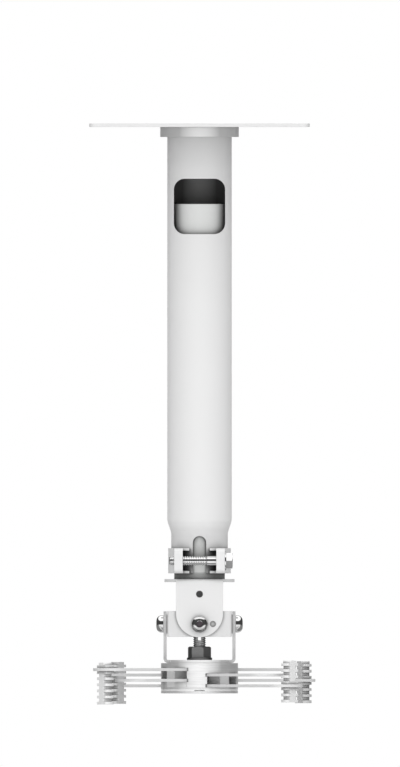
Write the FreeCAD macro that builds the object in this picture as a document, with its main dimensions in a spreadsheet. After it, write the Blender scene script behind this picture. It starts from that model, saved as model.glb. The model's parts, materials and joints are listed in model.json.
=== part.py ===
import FreeCAD, Part
import Sketcher
import math
import os

# A telescopic ceiling mount for a projector, hanging below the ceiling.
# Frame: the origin is the centre of the ceiling plate's top face, +Z points up
# into the ceiling, -Y is the front, where the cable window and the clamp bolt are.
# All lengths are in millimetres and all angles in degrees.

doc = FreeCAD.newDocument("ProjectorCeilingMount")
sheet = doc.addObject("Spreadsheet::Sheet", "Sizes")

SIZES = [
    ("plate_side", 184.6, "ceiling plate, side of the square"),
    ("plate_thick", 3.0, "ceiling plate, thickness"),
    ("plate_corner", 5.0, "ceiling plate, corner radius"),
    ("screw_spacing", 150.0, "ceiling screws, hole to hole"),
    ("screw_hole_radius", 3.5, "ceiling screws, hole radius"),
    ("cable_hole_radius", 15.0, "cable hole in the ceiling plate and in the yoke"),
    ("tube_radius", 27.0, "outer tube, outside radius"),
    ("tube_wall", 2.3, "outer tube, wall"),
    ("tube_length", 373.6, "outer tube, from the plate to the end of its neck"),
    ("neck_wall", 2.4, "swaged neck, wall"),
    ("neck_length", 34.2, "swaged neck, straight length"),
    ("taper_length", 9.7, "taper between the tube and its neck"),
    ("taper_blend", 12.0, "rounding at both ends of the taper"),
    ("window_drop", 43.3, "cable window, top edge below the plate"),
    ("window_tall", 46.3, "cable window, height"),
    ("window_wide", 42.9, "cable window, width seen from the front"),
    ("window_corner", 9.1, "cable window, corner radius"),
    ("neck_slot_wide", 11.0, "slot that lets the neck close, width"),
    ("neck_slot_tall", 31.2, "slot that lets the neck close, height"),
    ("ring_wide", 5.9, "weld ring under the plate, how far it stands out from the tube"),
    ("ring_tall", 8.4, "weld ring, height"),
    ("ring_bevel", 1.0, "weld ring, bevel at its lower edge"),
    ("weld_gap", 0.1, "gap between the weld ring and the tube"),
    ("neck_step", 3.3, "swaged neck, how far it is drawn in from the tube"),
    ("inner_wall", 2.0, "inner tube, wall"),
    ("inner_length", 314.0, "inner tube, length"),
    ("rest_gap", 4.8, "gap between the neck and the yoke as shown"),
    ("slide_gap", 0.1, "running gap of tubes and bush, on the radius"),
    ("bush_drop", 33.0, "guide bush, its top below the inner tube's top"),
    ("bush_tall", 14.0, "guide bush, height"),
    ("bush_slit", 3.0, "guide bush, slit that lets it spring open"),
    ("rib_deep", 0.8, "rolled groove that holds the bush, depth"),
    ("rib_tall", 4.0, "rolled groove that holds the bush, height"),
    ("clamp_wall", 2.45, "clamp collar, wall of its band"),
    ("clamp_tall", 21.1, "clamp collar, height"),
    ("clamp_mouth", 17.0, "clamp collar, gap between its two lips"),
    ("lip_tall", 2.1, "clamp collar, height of each lip"),
    ("ear_inside", 13.8, "clamp ears, inner face from the middle"),
    ("ear_thick", 7.45, "clamp ears, thickness"),
    ("ear_past_bolt", 8.0, "clamp ears, front face in front of the bolt's axis"),
    ("ear_root", 5.0, "clamp ears, root in front of the tube's axis"),
    ("ear_corner", 4.0, "clamp ears, corner radius"),
    ("clamp_bolt_front", 6.3, "clamp bolt, its axis in front of the neck"),
    ("clamp_bolt_out", 4.1, "clamp bolt, end that shows past the left ear"),
    ("small_radius", 4.0, "M8 bolts, shank radius"),
    ("shaft_gap", 0.05, "running gap of a bolt in its hole, on the radius"),
    ("hex_head_tall", 5.4, "M8 hexagon head, height"),
    ("hex_small_flats", 13.0, "M8 hexagons, across the flats"),
    ("clamp_washer_radius", 8.0, "washer of the clamp bolt, radius"),
    ("clamp_washer_thick", 1.1, "washer of the clamp bolt, thickness"),
    ("yoke_thick", 2.5, "upper yoke, sheet thickness"),
    ("yoke_disc_radius", 29.35, "upper yoke, radius of its round sides"),
    ("yoke_tab_wide", 39.4, "upper yoke, width of its two tabs"),
    ("pivot_drop", 37.6, "tilt and roll axes below the yoke's top"),
    ("tab_below", 11.1, "upper yoke, tab end below the pivots"),
    ("bend_inside", 1.5, "sheet bends, inside radius"),
    ("tab_hole_drop", 12.6, "upper yoke, hole in the front tab below its top"),
    ("tab_hole_radius", 2.85, "upper yoke, hole in the front tab"),
    ("index_hole_radius", 2.5, "upper yoke, small hole beside the roll bolt"),
    ("index_hole_side", 11.2, "upper yoke, small hole from the middle"),
    ("cross_side", 54.0, "cross frame, side of the square tube"),
    ("cross_wall", 3.0, "cross frame, wall"),
    ("cross_tall", 21.6, "cross frame, height"),
    ("cross_corner", 3.5, "cross frame, outer corner radius"),
    ("thin_washer", 0.5, "thin washers at the pivots, thickness"),
    ("thin_washer_radius", 8.0, "thin washers at the pivots, radius"),
    ("button_radius", 7.3, "button heads, radius"),
    ("button_tall", 5.8, "button heads, height"),
    ("button_round", 4.4, "button heads, rounding of the edge"),
    ("socket_flats", 5.0, "hexagon sockets, across the flats"),
    ("socket_deep", 3.2, "hexagon sockets, depth"),
    ("small_nut_tall", 6.5, "M8 nuts, height"),
    ("pivot_bolt_past", 1.5, "pivot bolts, end past the nut"),
    ("bracket_thick", 2.65, "lower bracket, sheet thickness"),
    ("bracket_leg_wide", 21.2, "lower bracket, width of its two legs"),
    ("bracket_drop", 32.75, "lower bracket, its underside below the pivots"),
    ("bracket_bend", 3.8, "lower bracket, outer bend radius"),
    ("big_radius", 5.0, "M10 centre bolt, shank radius"),
    ("big_top_drop", 9.6, "M10 centre bolt, its top below the pivots"),
    ("big_notch_wide", 2.8, "M10 centre bolt, width of its end notch"),
    ("big_notch_deep", 4.0, "M10 centre bolt, depth of its end notch"),
    ("big_head_radius", 9.0, "M10 centre bolt, radius of its flat head"),
    ("big_head_tall", 2.4, "M10 centre bolt, height of its flat head"),
    ("big_head_gap", 0.4, "M10 centre bolt, gap round its head"),
    ("big_nut_flats", 17.0, "M10 nut, across the flats"),
    ("big_nut_tall", 9.2, "M10 nut, height"),
    ("big_nut_turn", -10.5, "M10 nut, turn about the axis"),
    ("big_washer_radius", 10.6, "M10 washer, radius"),
    ("big_washer_thick", 2.0, "M10 washer, thickness"),
    ("hub_radius", 32.25, "hub, radius"),
    ("hub_tall", 25.35, "hub with its cover, height"),
    ("hub_yaw", 4.0, "hub and arms, turn off the diagonals"),
    ("first_level", 5.4, "first arm's middle below the hub's top"),
    ("level_pitch", 4.53, "arms, level to level"),
    ("level_gap", 0.1, "arms, gap above and below in the hub"),
    ("strip_gap", 0.1, "arms, gap beside them in the hub's passages"),
    ("relief_gap", 1.3, "arms, gap beside them in the relief at each level"),
    ("key_gap", 0.1, "arms, gap between the slot and the hub's keys"),
    ("cover_groove", 0.35, "hub cover, line round its rim"),
    ("cover_foot", 2.0, "hub cover, height below that line"),
    ("cover_notch_wide", 9.5, "hub cover, width of the notch in its rim"),
    ("cover_notch_tall", 1.2, "hub cover, height of the notch in its rim"),
    ("cover_notch_deep", 1.0, "hub cover, depth of the notch in its rim"),
    ("arm_wide", 31.6, "arms, width"),
    ("arm_thick", 2.5, "arms, thickness"),
    ("arm_length", 212.0, "arms, length"),
    ("arm_slot_wide", 10.5, "arms, width of the long slot"),
    ("post_to_tip", 8.4, "arms, tip past the post's axis"),
    ("reach_near", 104.5, "posts front left and back left, from the axis"),
    ("reach_far", 115.0, "posts front right and back right, from the axis"),
    ("fin_radius", 7.1, "posts, radius of the fins"),
    ("core_radius", 5.2, "posts, radius between the fins"),
    ("post_flat", 4.6, "posts, flats from the axis"),
    ("post_cap", 4.5, "posts, height of the top above the first groove"),
    ("post_groove", 2.7, "posts, height of a groove"),
    ("post_fin", 2.4, "posts, height of a fin"),
    ("post_bore", 2.75, "posts, bore for the projector's screw"),
    ("cut_margin", 1.0, "how far a cut runs past the piece that it trims"),
]
# A post's grooves, counted here because a count is no length.
POST_GROOVES = 6

for row, (alias, value, note) in enumerate(SIZES, start=1):
    sheet.set("A%d" % row, note)
    sheet.set("B%d" % row, str(value))
    sheet.setAlias("B%d" % row, alias)
doc.recompute()


def sized(text):
    """Turns the plain names in an expression into references to the sheet."""
    words = []
    word = ""
    for letter in text + " ":
        if letter.isalnum() or letter == "_":
            word += letter
            continue
        words.append("Sizes." + word if "_" in word else word)
        words.append(letter)
        word = ""
    return "".join(words).strip()


def number(text):
    """The present value of an expression in the sheet's names."""
    return float(sheet.evalExpression(sized(text)))


# Heights that several pieces share, as expressions in the sheet's names.
PLATE_UNDER = "(0 - plate_thick)"
NECK_END = "(0 - plate_thick - tube_length)"
NECK_TOP = "(%s + neck_length)" % NECK_END
TAPER_TOP = "(%s + taper_length)" % NECK_TOP
NECK_RADIUS = "(tube_radius - neck_step)"
INNER_RADIUS = "(tube_radius - neck_step - neck_wall - slide_gap)"
RING_RADIUS = "(tube_radius + ring_wide)"
BOLT_REACH = "(%s + clamp_bolt_front)" % NECK_RADIUS
EAR_REACH = "(%s + ear_past_bolt)" % BOLT_REACH
YOKE_TOP = "(%s - rest_gap)" % NECK_END
INNER_TOP = "(%s + inner_length)" % YOKE_TOP
BUSH_TOP = "(%s - bush_drop)" % INNER_TOP
PIVOT = "(%s - pivot_drop)" % YOKE_TOP
YOKE_FACE = "(cross_side / 2 + thin_washer + yoke_thick)"
LEG_FACE = "(cross_side / 2 + thin_washer + bracket_thick)"
CLAMP_LOW = NECK_END
CLAMP_HIGH = "(%s + clamp_tall)" % NECK_END
CLAMP_AXIS = "(%s + clamp_tall / 2)" % NECK_END
BASE_UNDER = "(%s - bracket_drop)" % PIVOT
BASE_TOP = "(%s + bracket_thick)" % BASE_UNDER
HUB_TOP = BASE_UNDER
HUB_UNDER = "(%s - hub_tall)" % HUB_TOP
TAIL_SLOT = "(post_to_tip * 2 - arm_length)"
HUB_TURN = "(45 - hub_yaw)"


def arm_level(step):
    """The height of the middle of an arm, counted from 0 at the top."""
    return "(%s - first_level - level_pitch * %d)" % (HUB_TOP, step)


COVER_TOP = "(%s - arm_thick / 2 - level_gap)" % arm_level(3)


def new_body(label):
    body = doc.addObject("PartDesign::Body", label)
    body.Label = label
    return body


def new_sketch(body, role, offset="0"):
    """A sketch on one of the body's own planes, moved along its normal."""
    plane = [item for item in body.Origin.OriginFeatures if item.Role == role][0]
    sketch = body.newObject("Sketcher::SketchObject", body.Name + "_sketch")
    sketch.AttachmentSupport = [(plane, "")]
    sketch.MapMode = "FlatFace"
    sketch.setExpression(".AttachmentOffset.Base.z", sized(offset))
    return sketch


def hold(sketch, kind, geometry, point, expression):
    """Dimensions one point of a sketch from its origin with the sheet."""
    place = number(expression)
    index = sketch.addConstraint(Sketcher.Constraint(kind, -1, 1, geometry, point, place))
    sketch.setExpression("Constraints[%d]" % index, sized(expression))


def hold_radius(sketch, geometry, expression):
    size = number(expression)
    index = sketch.addConstraint(Sketcher.Constraint("Radius", geometry, size))
    sketch.setExpression("Constraints[%d]" % index, sized(expression))


def draw_outline(sketch, corners):
    """A closed outline of straight lines through the corners."""
    first = sketch.GeometryCount
    places = [FreeCAD.Vector(number(across), number(up), 0) for across, up in corners]
    for index, place in enumerate(places):
        following = places[(index + 1) % len(places)]
        sketch.addGeometry(Part.LineSegment(place, following), False)
    for index, (across, up) in enumerate(corners):
        line = first + index
        following = first + (index + 1) % len(corners)
        sketch.addConstraint(Sketcher.Constraint("Coincident", line, 2, following, 1))
        hold(sketch, "DistanceX", line, 1, across)
        hold(sketch, "DistanceY", line, 1, up)


def draw_circle(sketch, across, up, radius):
    centre = FreeCAD.Vector(number(across), number(up), 0)
    circle = sketch.addGeometry(Part.Circle(centre, FreeCAD.Vector(0, 0, 1), number(radius)), False)
    hold(sketch, "DistanceX", circle, 3, across)
    hold(sketch, "DistanceY", circle, 3, up)
    hold_radius(sketch, circle, radius)


def draw_arc(sketch, across, up, radius, start, end):
    """An arc between two angles in degrees, held by its centre and radius."""
    centre = FreeCAD.Vector(number(across), number(up), 0)
    circle = Part.Circle(centre, FreeCAD.Vector(0, 0, 1), number(radius))
    arc = Part.ArcOfCircle(circle, math.radians(start), math.radians(end))
    geometry = sketch.addGeometry(arc, False)
    hold(sketch, "DistanceX", geometry, 3, across)
    hold(sketch, "DistanceY", geometry, 3, up)
    hold_radius(sketch, geometry, radius)
    return geometry


def draw_rounded(sketch, left, right, low, high, radius):
    """A rectangle whose four corners have one radius."""
    inner = {"left": "%s + %s" % (left, radius), "right": "%s - %s" % (right, radius)}
    inner.update({"low": "%s + %s" % (low, radius), "high": "%s - %s" % (high, radius)})
    arcs = []
    for across, up, start in (("right", "high", 0), ("left", "high", 90),
                              ("left", "low", 180), ("right", "low", 270)):
        arcs.append(draw_arc(sketch, inner[across], inner[up], radius, start, start + 90))
    for index, arc in enumerate(arcs):
        following = arcs[(index + 1) % len(arcs)]
        here = sketch.getPoint(arc, 2)
        there = sketch.getPoint(following, 1)
        line = sketch.addGeometry(Part.LineSegment(here, there), False)
        sketch.addConstraint(Sketcher.Constraint("Tangent", arc, 2, line, 1))
        sketch.addConstraint(Sketcher.Constraint("Tangent", line, 2, following, 1))


def draw_obround(sketch, left, right, radius):
    """A long round-ended slot on the sketch's own X axis, between two centres."""
    first = draw_arc(sketch, left, "0", radius, 90, 270)
    last = draw_arc(sketch, right, "0", radius, 270, 450)
    for start, end in ((first, last), (last, first)):
        line = Part.LineSegment(sketch.getPoint(start, 2), sketch.getPoint(end, 1))
        side = sketch.addGeometry(line, False)
        sketch.addConstraint(Sketcher.Constraint("Tangent", start, 2, side, 1))
        sketch.addConstraint(Sketcher.Constraint("Tangent", side, 2, end, 1))


def draw_arch(sketch, radius, foot, centre):
    """A doorway shape: a straight foot and a round head of the same width."""
    arc = draw_arc(sketch, "0", centre, radius, 0, 180)
    left = FreeCAD.Vector(-number(radius), number(foot), 0)
    right = FreeCAD.Vector(number(radius), number(foot), 0)
    down = sketch.addGeometry(Part.LineSegment(sketch.getPoint(arc, 2), left), False)
    base = sketch.addGeometry(Part.LineSegment(left, right), False)
    up = sketch.addGeometry(Part.LineSegment(right, sketch.getPoint(arc, 1)), False)
    sketch.addConstraint(Sketcher.Constraint("Tangent", arc, 2, down, 1))
    sketch.addConstraint(Sketcher.Constraint("Coincident", down, 2, base, 1))
    sketch.addConstraint(Sketcher.Constraint("Coincident", base, 2, up, 1))
    sketch.addConstraint(Sketcher.Constraint("Tangent", up, 2, arc, 1))
    sketch.addConstraint(Sketcher.Constraint("Horizontal", base))
    hold(sketch, "DistanceY", base, 1, foot)


def draw_hexagon(sketch, flats, turn="0"):
    """A hexagon round the origin, with one corner at the angle turn."""
    corners = []
    for step in range(6):
        angle = "((%s + %d) * 1deg)" % (turn, 60 * step)
        reach = "%s / 2 / cos(30deg)" % flats
        corners.append(("%s * cos(%s)" % (reach, angle), "%s * sin(%s)" % (reach, angle)))
    draw_outline(sketch, corners)


def set_length(feature, sketch, length, both, reverse):
    feature.Profile = sketch
    feature.setExpression("Length", sized(length))
    feature.Midplane = both
    feature.Reversed = reverse
    doc.recompute()


def add_pad(body, sketch, length, both=False, reverse=False):
    feature = body.newObject("PartDesign::Pad", body.Name + "_pad")
    set_length(feature, sketch, length, both, reverse)
    return feature


def check_cut(body, before):
    """Stops where a cut points away from the solid and takes nothing off."""
    if not body.Shape.Volume < before - 1e-6:
        raise RuntimeError("a cut in %s takes nothing off" % body.Label)


def add_pocket(body, sketch, length, both=False, reverse=False):
    before = body.Shape.Volume
    feature = body.newObject("PartDesign::Pocket", body.Name + "_pocket")
    set_length(feature, sketch, length, both, reverse)
    check_cut(body, before)
    return feature


def add_turning(body, profile):
    """Material turned about the body's Z axis from (radius, height) corners."""
    sketch = new_sketch(body, "XZ_Plane")
    draw_outline(sketch, profile)
    feature = body.newObject("PartDesign::Revolution", body.Name + "_turning")
    feature.Profile = sketch
    feature.ReferenceAxis = (sketch, ["V_Axis"])
    feature.Angle = 360
    doc.recompute()
    return feature


def add_turned_cut(body, profile):
    """A cut turned about the body's Z axis from (radius, height) corners."""
    before = body.Shape.Volume
    sketch = new_sketch(body, "XZ_Plane")
    draw_outline(sketch, profile)
    feature = body.newObject("PartDesign::Groove", body.Name + "_turned_cut")
    feature.Profile = sketch
    feature.ReferenceAxis = (sketch, ["V_Axis"])
    feature.Angle = 360
    doc.recompute()
    check_cut(body, before)
    return feature


def add_mirror(body, feature, role):
    plane = [item for item in body.Origin.OriginFeatures if item.Role == role][0]
    mirror = body.newObject("PartDesign::Mirrored", body.Name + "_mirror")
    mirror.Originals = [feature]
    mirror.MirrorPlane = (plane, [""])
    body.Tip = mirror
    doc.recompute()
    return mirror


def add_fillet(body, radius, wanted):
    """Rounds every edge whose ends and middle satisfy the wanted test."""
    base = body.Tip
    names = []
    for index, edge in enumerate(base.Shape.Edges, start=1):
        if all(wanted(point) for point in edge.discretize(3)):
            names.append("Edge%d" % index)
    if not names:
        raise RuntimeError("no edge to round in %s" % body.Label)
    fillet = body.newObject("PartDesign::Fillet", body.Name + "_fillet")
    fillet.Base = (base, names)
    fillet.setExpression("Radius", sized(radius))
    body.Tip = fillet
    doc.recompute()
    return fillet


def near(value, expression):
    return abs(value - number(expression)) < 1e-4


def place(body, across="0", depth="0", height="0", rotation=None):
    """Moves a finished body, by expressions, after turning it."""
    turning = rotation or FreeCAD.Rotation()
    body.Placement = FreeCAD.Placement(FreeCAD.Vector(0, 0, 0), turning)
    body.setExpression(".Placement.Base.x", sized(across))
    body.setExpression(".Placement.Base.y", sized(depth))
    body.setExpression(".Placement.Base.z", sized(height))
    doc.recompute()


def turn_about_z(body, degrees):
    """Turns a placed body about the vertical through its own origin."""
    body.setExpression(".Placement.Rotation.Angle", sized(degrees))
    doc.recompute()


def ring(label, inner, outer, low, high):
    """A flat ring or washer turned about the body's Z axis."""
    body = new_body(label)
    add_turning(body, [(inner, low), (outer, low), (outer, high), (inner, high)])
    return body


def make_ceiling_plate():
    body = new_body("ceiling_plate")
    outline = new_sketch(body, "XY_Plane", PLATE_UNDER)
    half = "plate_side / 2"
    draw_rounded(outline, "0 - " + half, half, "0 - " + half, half, "plate_corner")
    add_pad(body, outline, "plate_thick")
    cable = new_sketch(body, "XY_Plane")
    draw_circle(cable, "0", "0", "cable_hole_radius")
    add_pocket(body, cable, "plate_thick")
    hole = new_sketch(body, "XY_Plane")
    draw_circle(hole, "screw_spacing / 2", "screw_spacing / 2", "screw_hole_radius")
    drilled = add_pocket(body, hole, "plate_thick")
    pattern = body.newObject("PartDesign::PolarPattern", "ceiling_plate_holes")
    pattern.Originals = [drilled]
    pattern.Axis = (hole, ["N_Axis"])
    pattern.Angle = 360
    pattern.Occurrences = 4
    body.Tip = pattern
    doc.recompute()


def make_collar_ring():
    body = new_body("collar_ring")
    low = "(%s - ring_tall)" % PLATE_UNDER
    bore = "tube_radius + weld_gap"
    profile = [(bore, low), (RING_RADIUS + " - ring_bevel", low), (RING_RADIUS, low + " + ring_bevel")]
    add_turning(body, profile + [(RING_RADIUS, PLATE_UNDER), (bore, PLATE_UNDER)])


def make_outer_tube():
    """The fixed tube, swaged in at its lower end to a neck that grips the inner tube."""
    body = new_body("outer_tube")
    neck_bore = INNER_RADIUS + " + slide_gap"
    bore = "tube_radius - tube_wall"
    outside = [("tube_radius", PLATE_UNDER), ("tube_radius", TAPER_TOP)]
    outside += [(NECK_RADIUS, NECK_TOP), (NECK_RADIUS, NECK_END)]
    inside = [(neck_bore, NECK_END), (neck_bore, NECK_TOP), (bore, TAPER_TOP), (bore, PLATE_UNDER)]
    add_turning(body, outside + inside)

    def on_taper(point):
        radius = math.hypot(point.x, point.y)
        high = near(radius, "tube_radius") and near(point.z, TAPER_TOP)
        low = near(radius, NECK_RADIUS) and near(point.z, NECK_TOP)
        return high or low

    add_fillet(body, "taper_blend", on_taper)
    window = new_sketch(body, "XZ_Plane")
    top = "(%s - window_drop)" % PLATE_UNDER
    half = "window_wide / 2"
    draw_rounded(window, "0 - " + half, half, top + " - window_tall", top, "window_corner")
    add_pocket(body, window, "tube_radius + tube_wall", reverse=True)
    slot = new_sketch(body, "XZ_Plane")
    centre = "%s + neck_slot_tall - neck_slot_wide / 2" % NECK_END
    draw_arch(slot, "neck_slot_wide / 2", NECK_END, centre)
    add_pocket(body, slot, "tube_radius + tube_wall", reverse=True)


def make_clamp_collar():
    """A band round the neck with two ears, drawn together by the clamp bolt."""
    body = new_body("clamp_collar")
    disc = new_sketch(body, "XY_Plane", CLAMP_LOW)
    draw_circle(disc, "0", "0", "%s + slide_gap + clamp_wall" % NECK_RADIUS)
    add_pad(body, disc, "clamp_tall")
    ear = new_sketch(body, "YZ_Plane", "ear_inside")
    draw_rounded(ear, "0 - " + EAR_REACH, "0 - ear_root", CLAMP_LOW, CLAMP_HIGH, "ear_corner")
    add_mirror(body, add_pad(body, ear, "ear_thick"), "YZ_Plane")
    bore = new_sketch(body, "XY_Plane", CLAMP_HIGH)
    draw_circle(bore, "0", "0", "%s + slide_gap" % NECK_RADIUS)
    add_pocket(body, bore, "clamp_tall")
    mouth = new_sketch(body, "XZ_Plane")
    half = "clamp_mouth / 2"
    draw_outline(mouth, [("0 - " + half, CLAMP_LOW), (half, CLAMP_LOW),
                         (half, CLAMP_HIGH), ("0 - " + half, CLAMP_HIGH)])
    add_pocket(body, mouth, EAR_REACH, reverse=True)
    recess = new_sketch(body, "XZ_Plane")
    low = CLAMP_LOW + " + lip_tall"
    high = CLAMP_HIGH + " - lip_tall"
    draw_outline(recess, [("0 - ear_inside", low), ("ear_inside", low),
                          ("ear_inside", high), ("0 - ear_inside", high)])
    add_pocket(body, recess, EAR_REACH, reverse=True)
    hole = new_sketch(body, "YZ_Plane")
    draw_circle(hole, "0 - " + BOLT_REACH, CLAMP_AXIS, "small_radius + shaft_gap")
    add_pocket(body, hole, "(ear_inside + ear_thick) * 2", both=True)


def bevel_hexagon(body, flats, high):
    """Turns the corners of a hexagon off at its top, at 30 degrees."""
    corner = "%s / 2 / cos(30deg)" % flats
    flat = "%s / 2" % flats
    foot = "%s - (%s - %s) * tan(30deg)" % (high, corner, flat)
    past = corner + " + cut_margin"
    add_turned_cut(body, [(flat, high), (past, high), (past, foot), (corner, foot)])


def make_clamp_bolt():
    body = new_body("clamp_bolt")
    length = "(ear_inside + ear_thick) * 2 + clamp_washer_thick + clamp_bolt_out"
    shank = new_sketch(body, "XY_Plane")
    draw_circle(shank, "0", "0", "small_radius")
    add_pad(body, shank, length, reverse=True)
    head = new_sketch(body, "XY_Plane")
    draw_hexagon(head, "hex_small_flats", "30")
    add_pad(body, head, "hex_head_tall")
    bevel_hexagon(body, "hex_small_flats", "hex_head_tall")
    sideways = FreeCAD.Rotation(FreeCAD.Vector(0, 1, 0), 90)
    ahead = "0 - " + BOLT_REACH
    place(body, "ear_inside + ear_thick + clamp_washer_thick", ahead, CLAMP_AXIS, sideways)
    washer = ring("clamp_washer", "small_radius + shaft_gap", "clamp_washer_radius", "0",
                  "clamp_washer_thick")
    place(washer, "ear_inside + ear_thick", ahead, CLAMP_AXIS, sideways)


def make_inner_tube():
    """The sliding tube, with a rolled groove that carries the guide bush."""
    body = new_body("inner_tube")
    groove_middle = "(%s - bush_tall / 2)" % BUSH_TOP
    high = "(%s + rib_tall / 2)" % groove_middle
    low = "(%s - rib_tall / 2)" % groove_middle
    bottom = INNER_RADIUS + " - rib_deep"
    bore = INNER_RADIUS + " - inner_wall"
    outside = [(INNER_RADIUS, INNER_TOP), (INNER_RADIUS, high), (bottom, high + " - rib_deep")]
    outside += [(bottom, low + " + rib_deep"), (INNER_RADIUS, low), (INNER_RADIUS, YOKE_TOP)]
    add_turning(body, outside + [(bore, YOKE_TOP), (bore, INNER_TOP)])


def make_guide_bush():
    """A split ring that centres the inner tube in the outer one and travels with it."""
    body = new_body("guide_bush")
    low = "(%s - bush_tall)" % BUSH_TOP
    middle = "(%s - bush_tall / 2)" % BUSH_TOP
    outer = "tube_radius - tube_wall - slide_gap"
    inner = INNER_RADIUS + " + shaft_gap"
    rib = INNER_RADIUS + " - rib_deep + shaft_gap"
    slope = "(rib_tall / 2 - shaft_gap)"
    under = "%s - %s" % (middle, slope)
    over = "%s + %s" % (middle, slope)
    profile = [(outer, BUSH_TOP), (outer, low), (inner, low), (inner, under), (rib, under + " + rib_deep")]
    profile += [(rib, over + " - rib_deep"), (inner, over), (inner, BUSH_TOP)]
    add_turning(body, profile)
    slit = new_sketch(body, "XZ_Plane")
    half = "bush_slit / 2"
    draw_outline(slit, [("0 - " + half, low), (half, low), (half, BUSH_TOP), ("0 - " + half, BUSH_TOP)])
    add_pocket(body, slit, "tube_radius")


def make_upper_yoke():
    """One folded sheet: a round-sided plate under the inner tube and two hanging tabs."""
    body = new_body("upper_yoke")
    plate_low = "(%s - yoke_thick)" % YOKE_TOP
    tab_centre = "(%s - tab_below + yoke_tab_wide / 2)" % PIVOT
    disc = new_sketch(body, "XY_Plane", plate_low)
    draw_circle(disc, "0", "0", "yoke_disc_radius")
    add_pad(body, disc, "yoke_thick")
    half_tab = "yoke_tab_wide / 2"
    side = "sqrt(yoke_disc_radius ^ 2 - (yoke_tab_wide / 2) ^ 2)"
    trim = new_sketch(body, "XY_Plane", YOKE_TOP)
    wide = "(yoke_disc_radius + cut_margin)"
    draw_outline(trim, [("0 - " + wide, side), (wide, side), (wide, wide), ("0 - " + wide, wide)])
    add_mirror(body, add_pocket(body, trim, "yoke_thick"), "XZ_Plane")
    fold = new_sketch(body, "YZ_Plane")
    inside = "(%s - yoke_thick)" % YOKE_FACE
    draw_outline(fold, [("0 - " + YOKE_FACE, YOKE_TOP), (YOKE_FACE, YOKE_TOP), (YOKE_FACE, tab_centre),
                        (inside, tab_centre), (inside, plate_low), ("0 - " + inside, plate_low),
                        ("0 - " + inside, tab_centre), ("0 - " + YOKE_FACE, tab_centre)])
    add_pad(body, fold, "yoke_tab_wide", both=True)
    add_fillet(body, "bend_inside + yoke_thick",
               lambda point: near(abs(point.y), YOKE_FACE) and near(point.z, YOKE_TOP))
    add_fillet(body, "bend_inside",
               lambda point: near(abs(point.y), inside) and near(point.z, plate_low))
    tab = new_sketch(body, "XZ_Plane", YOKE_FACE)
    draw_circle(tab, "0", tab_centre, half_tab)
    add_mirror(body, add_pad(body, tab, "yoke_thick", reverse=True), "XZ_Plane")
    cable = new_sketch(body, "XY_Plane", YOKE_TOP)
    draw_circle(cable, "0", "0", "cable_hole_radius")
    add_pocket(body, cable, "yoke_thick")
    roll = new_sketch(body, "XZ_Plane")
    draw_circle(roll, "0", PIVOT, "small_radius + shaft_gap")
    add_pocket(body, roll, YOKE_FACE + " * 2", both=True)
    holes = new_sketch(body, "XZ_Plane")
    draw_circle(holes, "0", "%s - tab_hole_drop" % YOKE_TOP, "tab_hole_radius")
    draw_circle(holes, "index_hole_side", PIVOT, "index_hole_radius")
    add_pocket(body, holes, YOKE_FACE, reverse=True)


def make_cross_frame():
    """A length of square tube that carries the two crossed pivots."""
    body = new_body("cross_frame")
    low = "(%s - cross_tall / 2)" % PIVOT
    wall = new_sketch(body, "XY_Plane", low)
    half = "cross_side / 2"
    draw_rounded(wall, "0 - " + half, half, "0 - " + half, half, "cross_corner")
    inner = "(cross_side / 2 - cross_wall)"
    draw_rounded(wall, "0 - " + inner, inner, "0 - " + inner, inner, "(cross_corner - cross_wall)")
    add_pad(body, wall, "cross_tall")
    for role in ("XZ_Plane", "YZ_Plane"):
        hole = new_sketch(body, role)
        draw_circle(hole, "0", PIVOT, "small_radius + shaft_gap")
        add_pocket(body, hole, "cross_side", both=True)


def make_button_bolt(label, grip):
    """A button head bolt standing on its seat at the body's origin, head up."""
    body = new_body(label)
    length = "(%s + cross_wall + small_nut_tall + pivot_bolt_past)" % grip
    profile = [("0", "0 - " + length), ("small_radius", "0 - " + length), ("small_radius", "0")]
    profile += [("button_radius", "0"), ("button_radius", "button_tall"), ("0", "button_tall")]
    add_turning(body, profile)
    add_fillet(body, "button_round",
               lambda point: near(point.z, "button_tall") and near(math.hypot(point.x, point.y),
                                                                   "button_radius"))
    socket = new_sketch(body, "XY_Plane", "button_tall")
    draw_hexagon(socket, "socket_flats")
    add_pocket(body, socket, "socket_deep")
    return body


def make_hex_nut(label, flats, tall, bore, turn="0"):
    body = new_body(label)
    block = new_sketch(body, "XY_Plane")
    draw_hexagon(block, flats, turn)
    add_pad(body, block, tall)
    hole = new_sketch(body, "XY_Plane", tall)
    draw_circle(hole, "0", "0", bore)
    add_pocket(body, hole, tall)
    bevel_hexagon(body, flats, tall)
    return body


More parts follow.
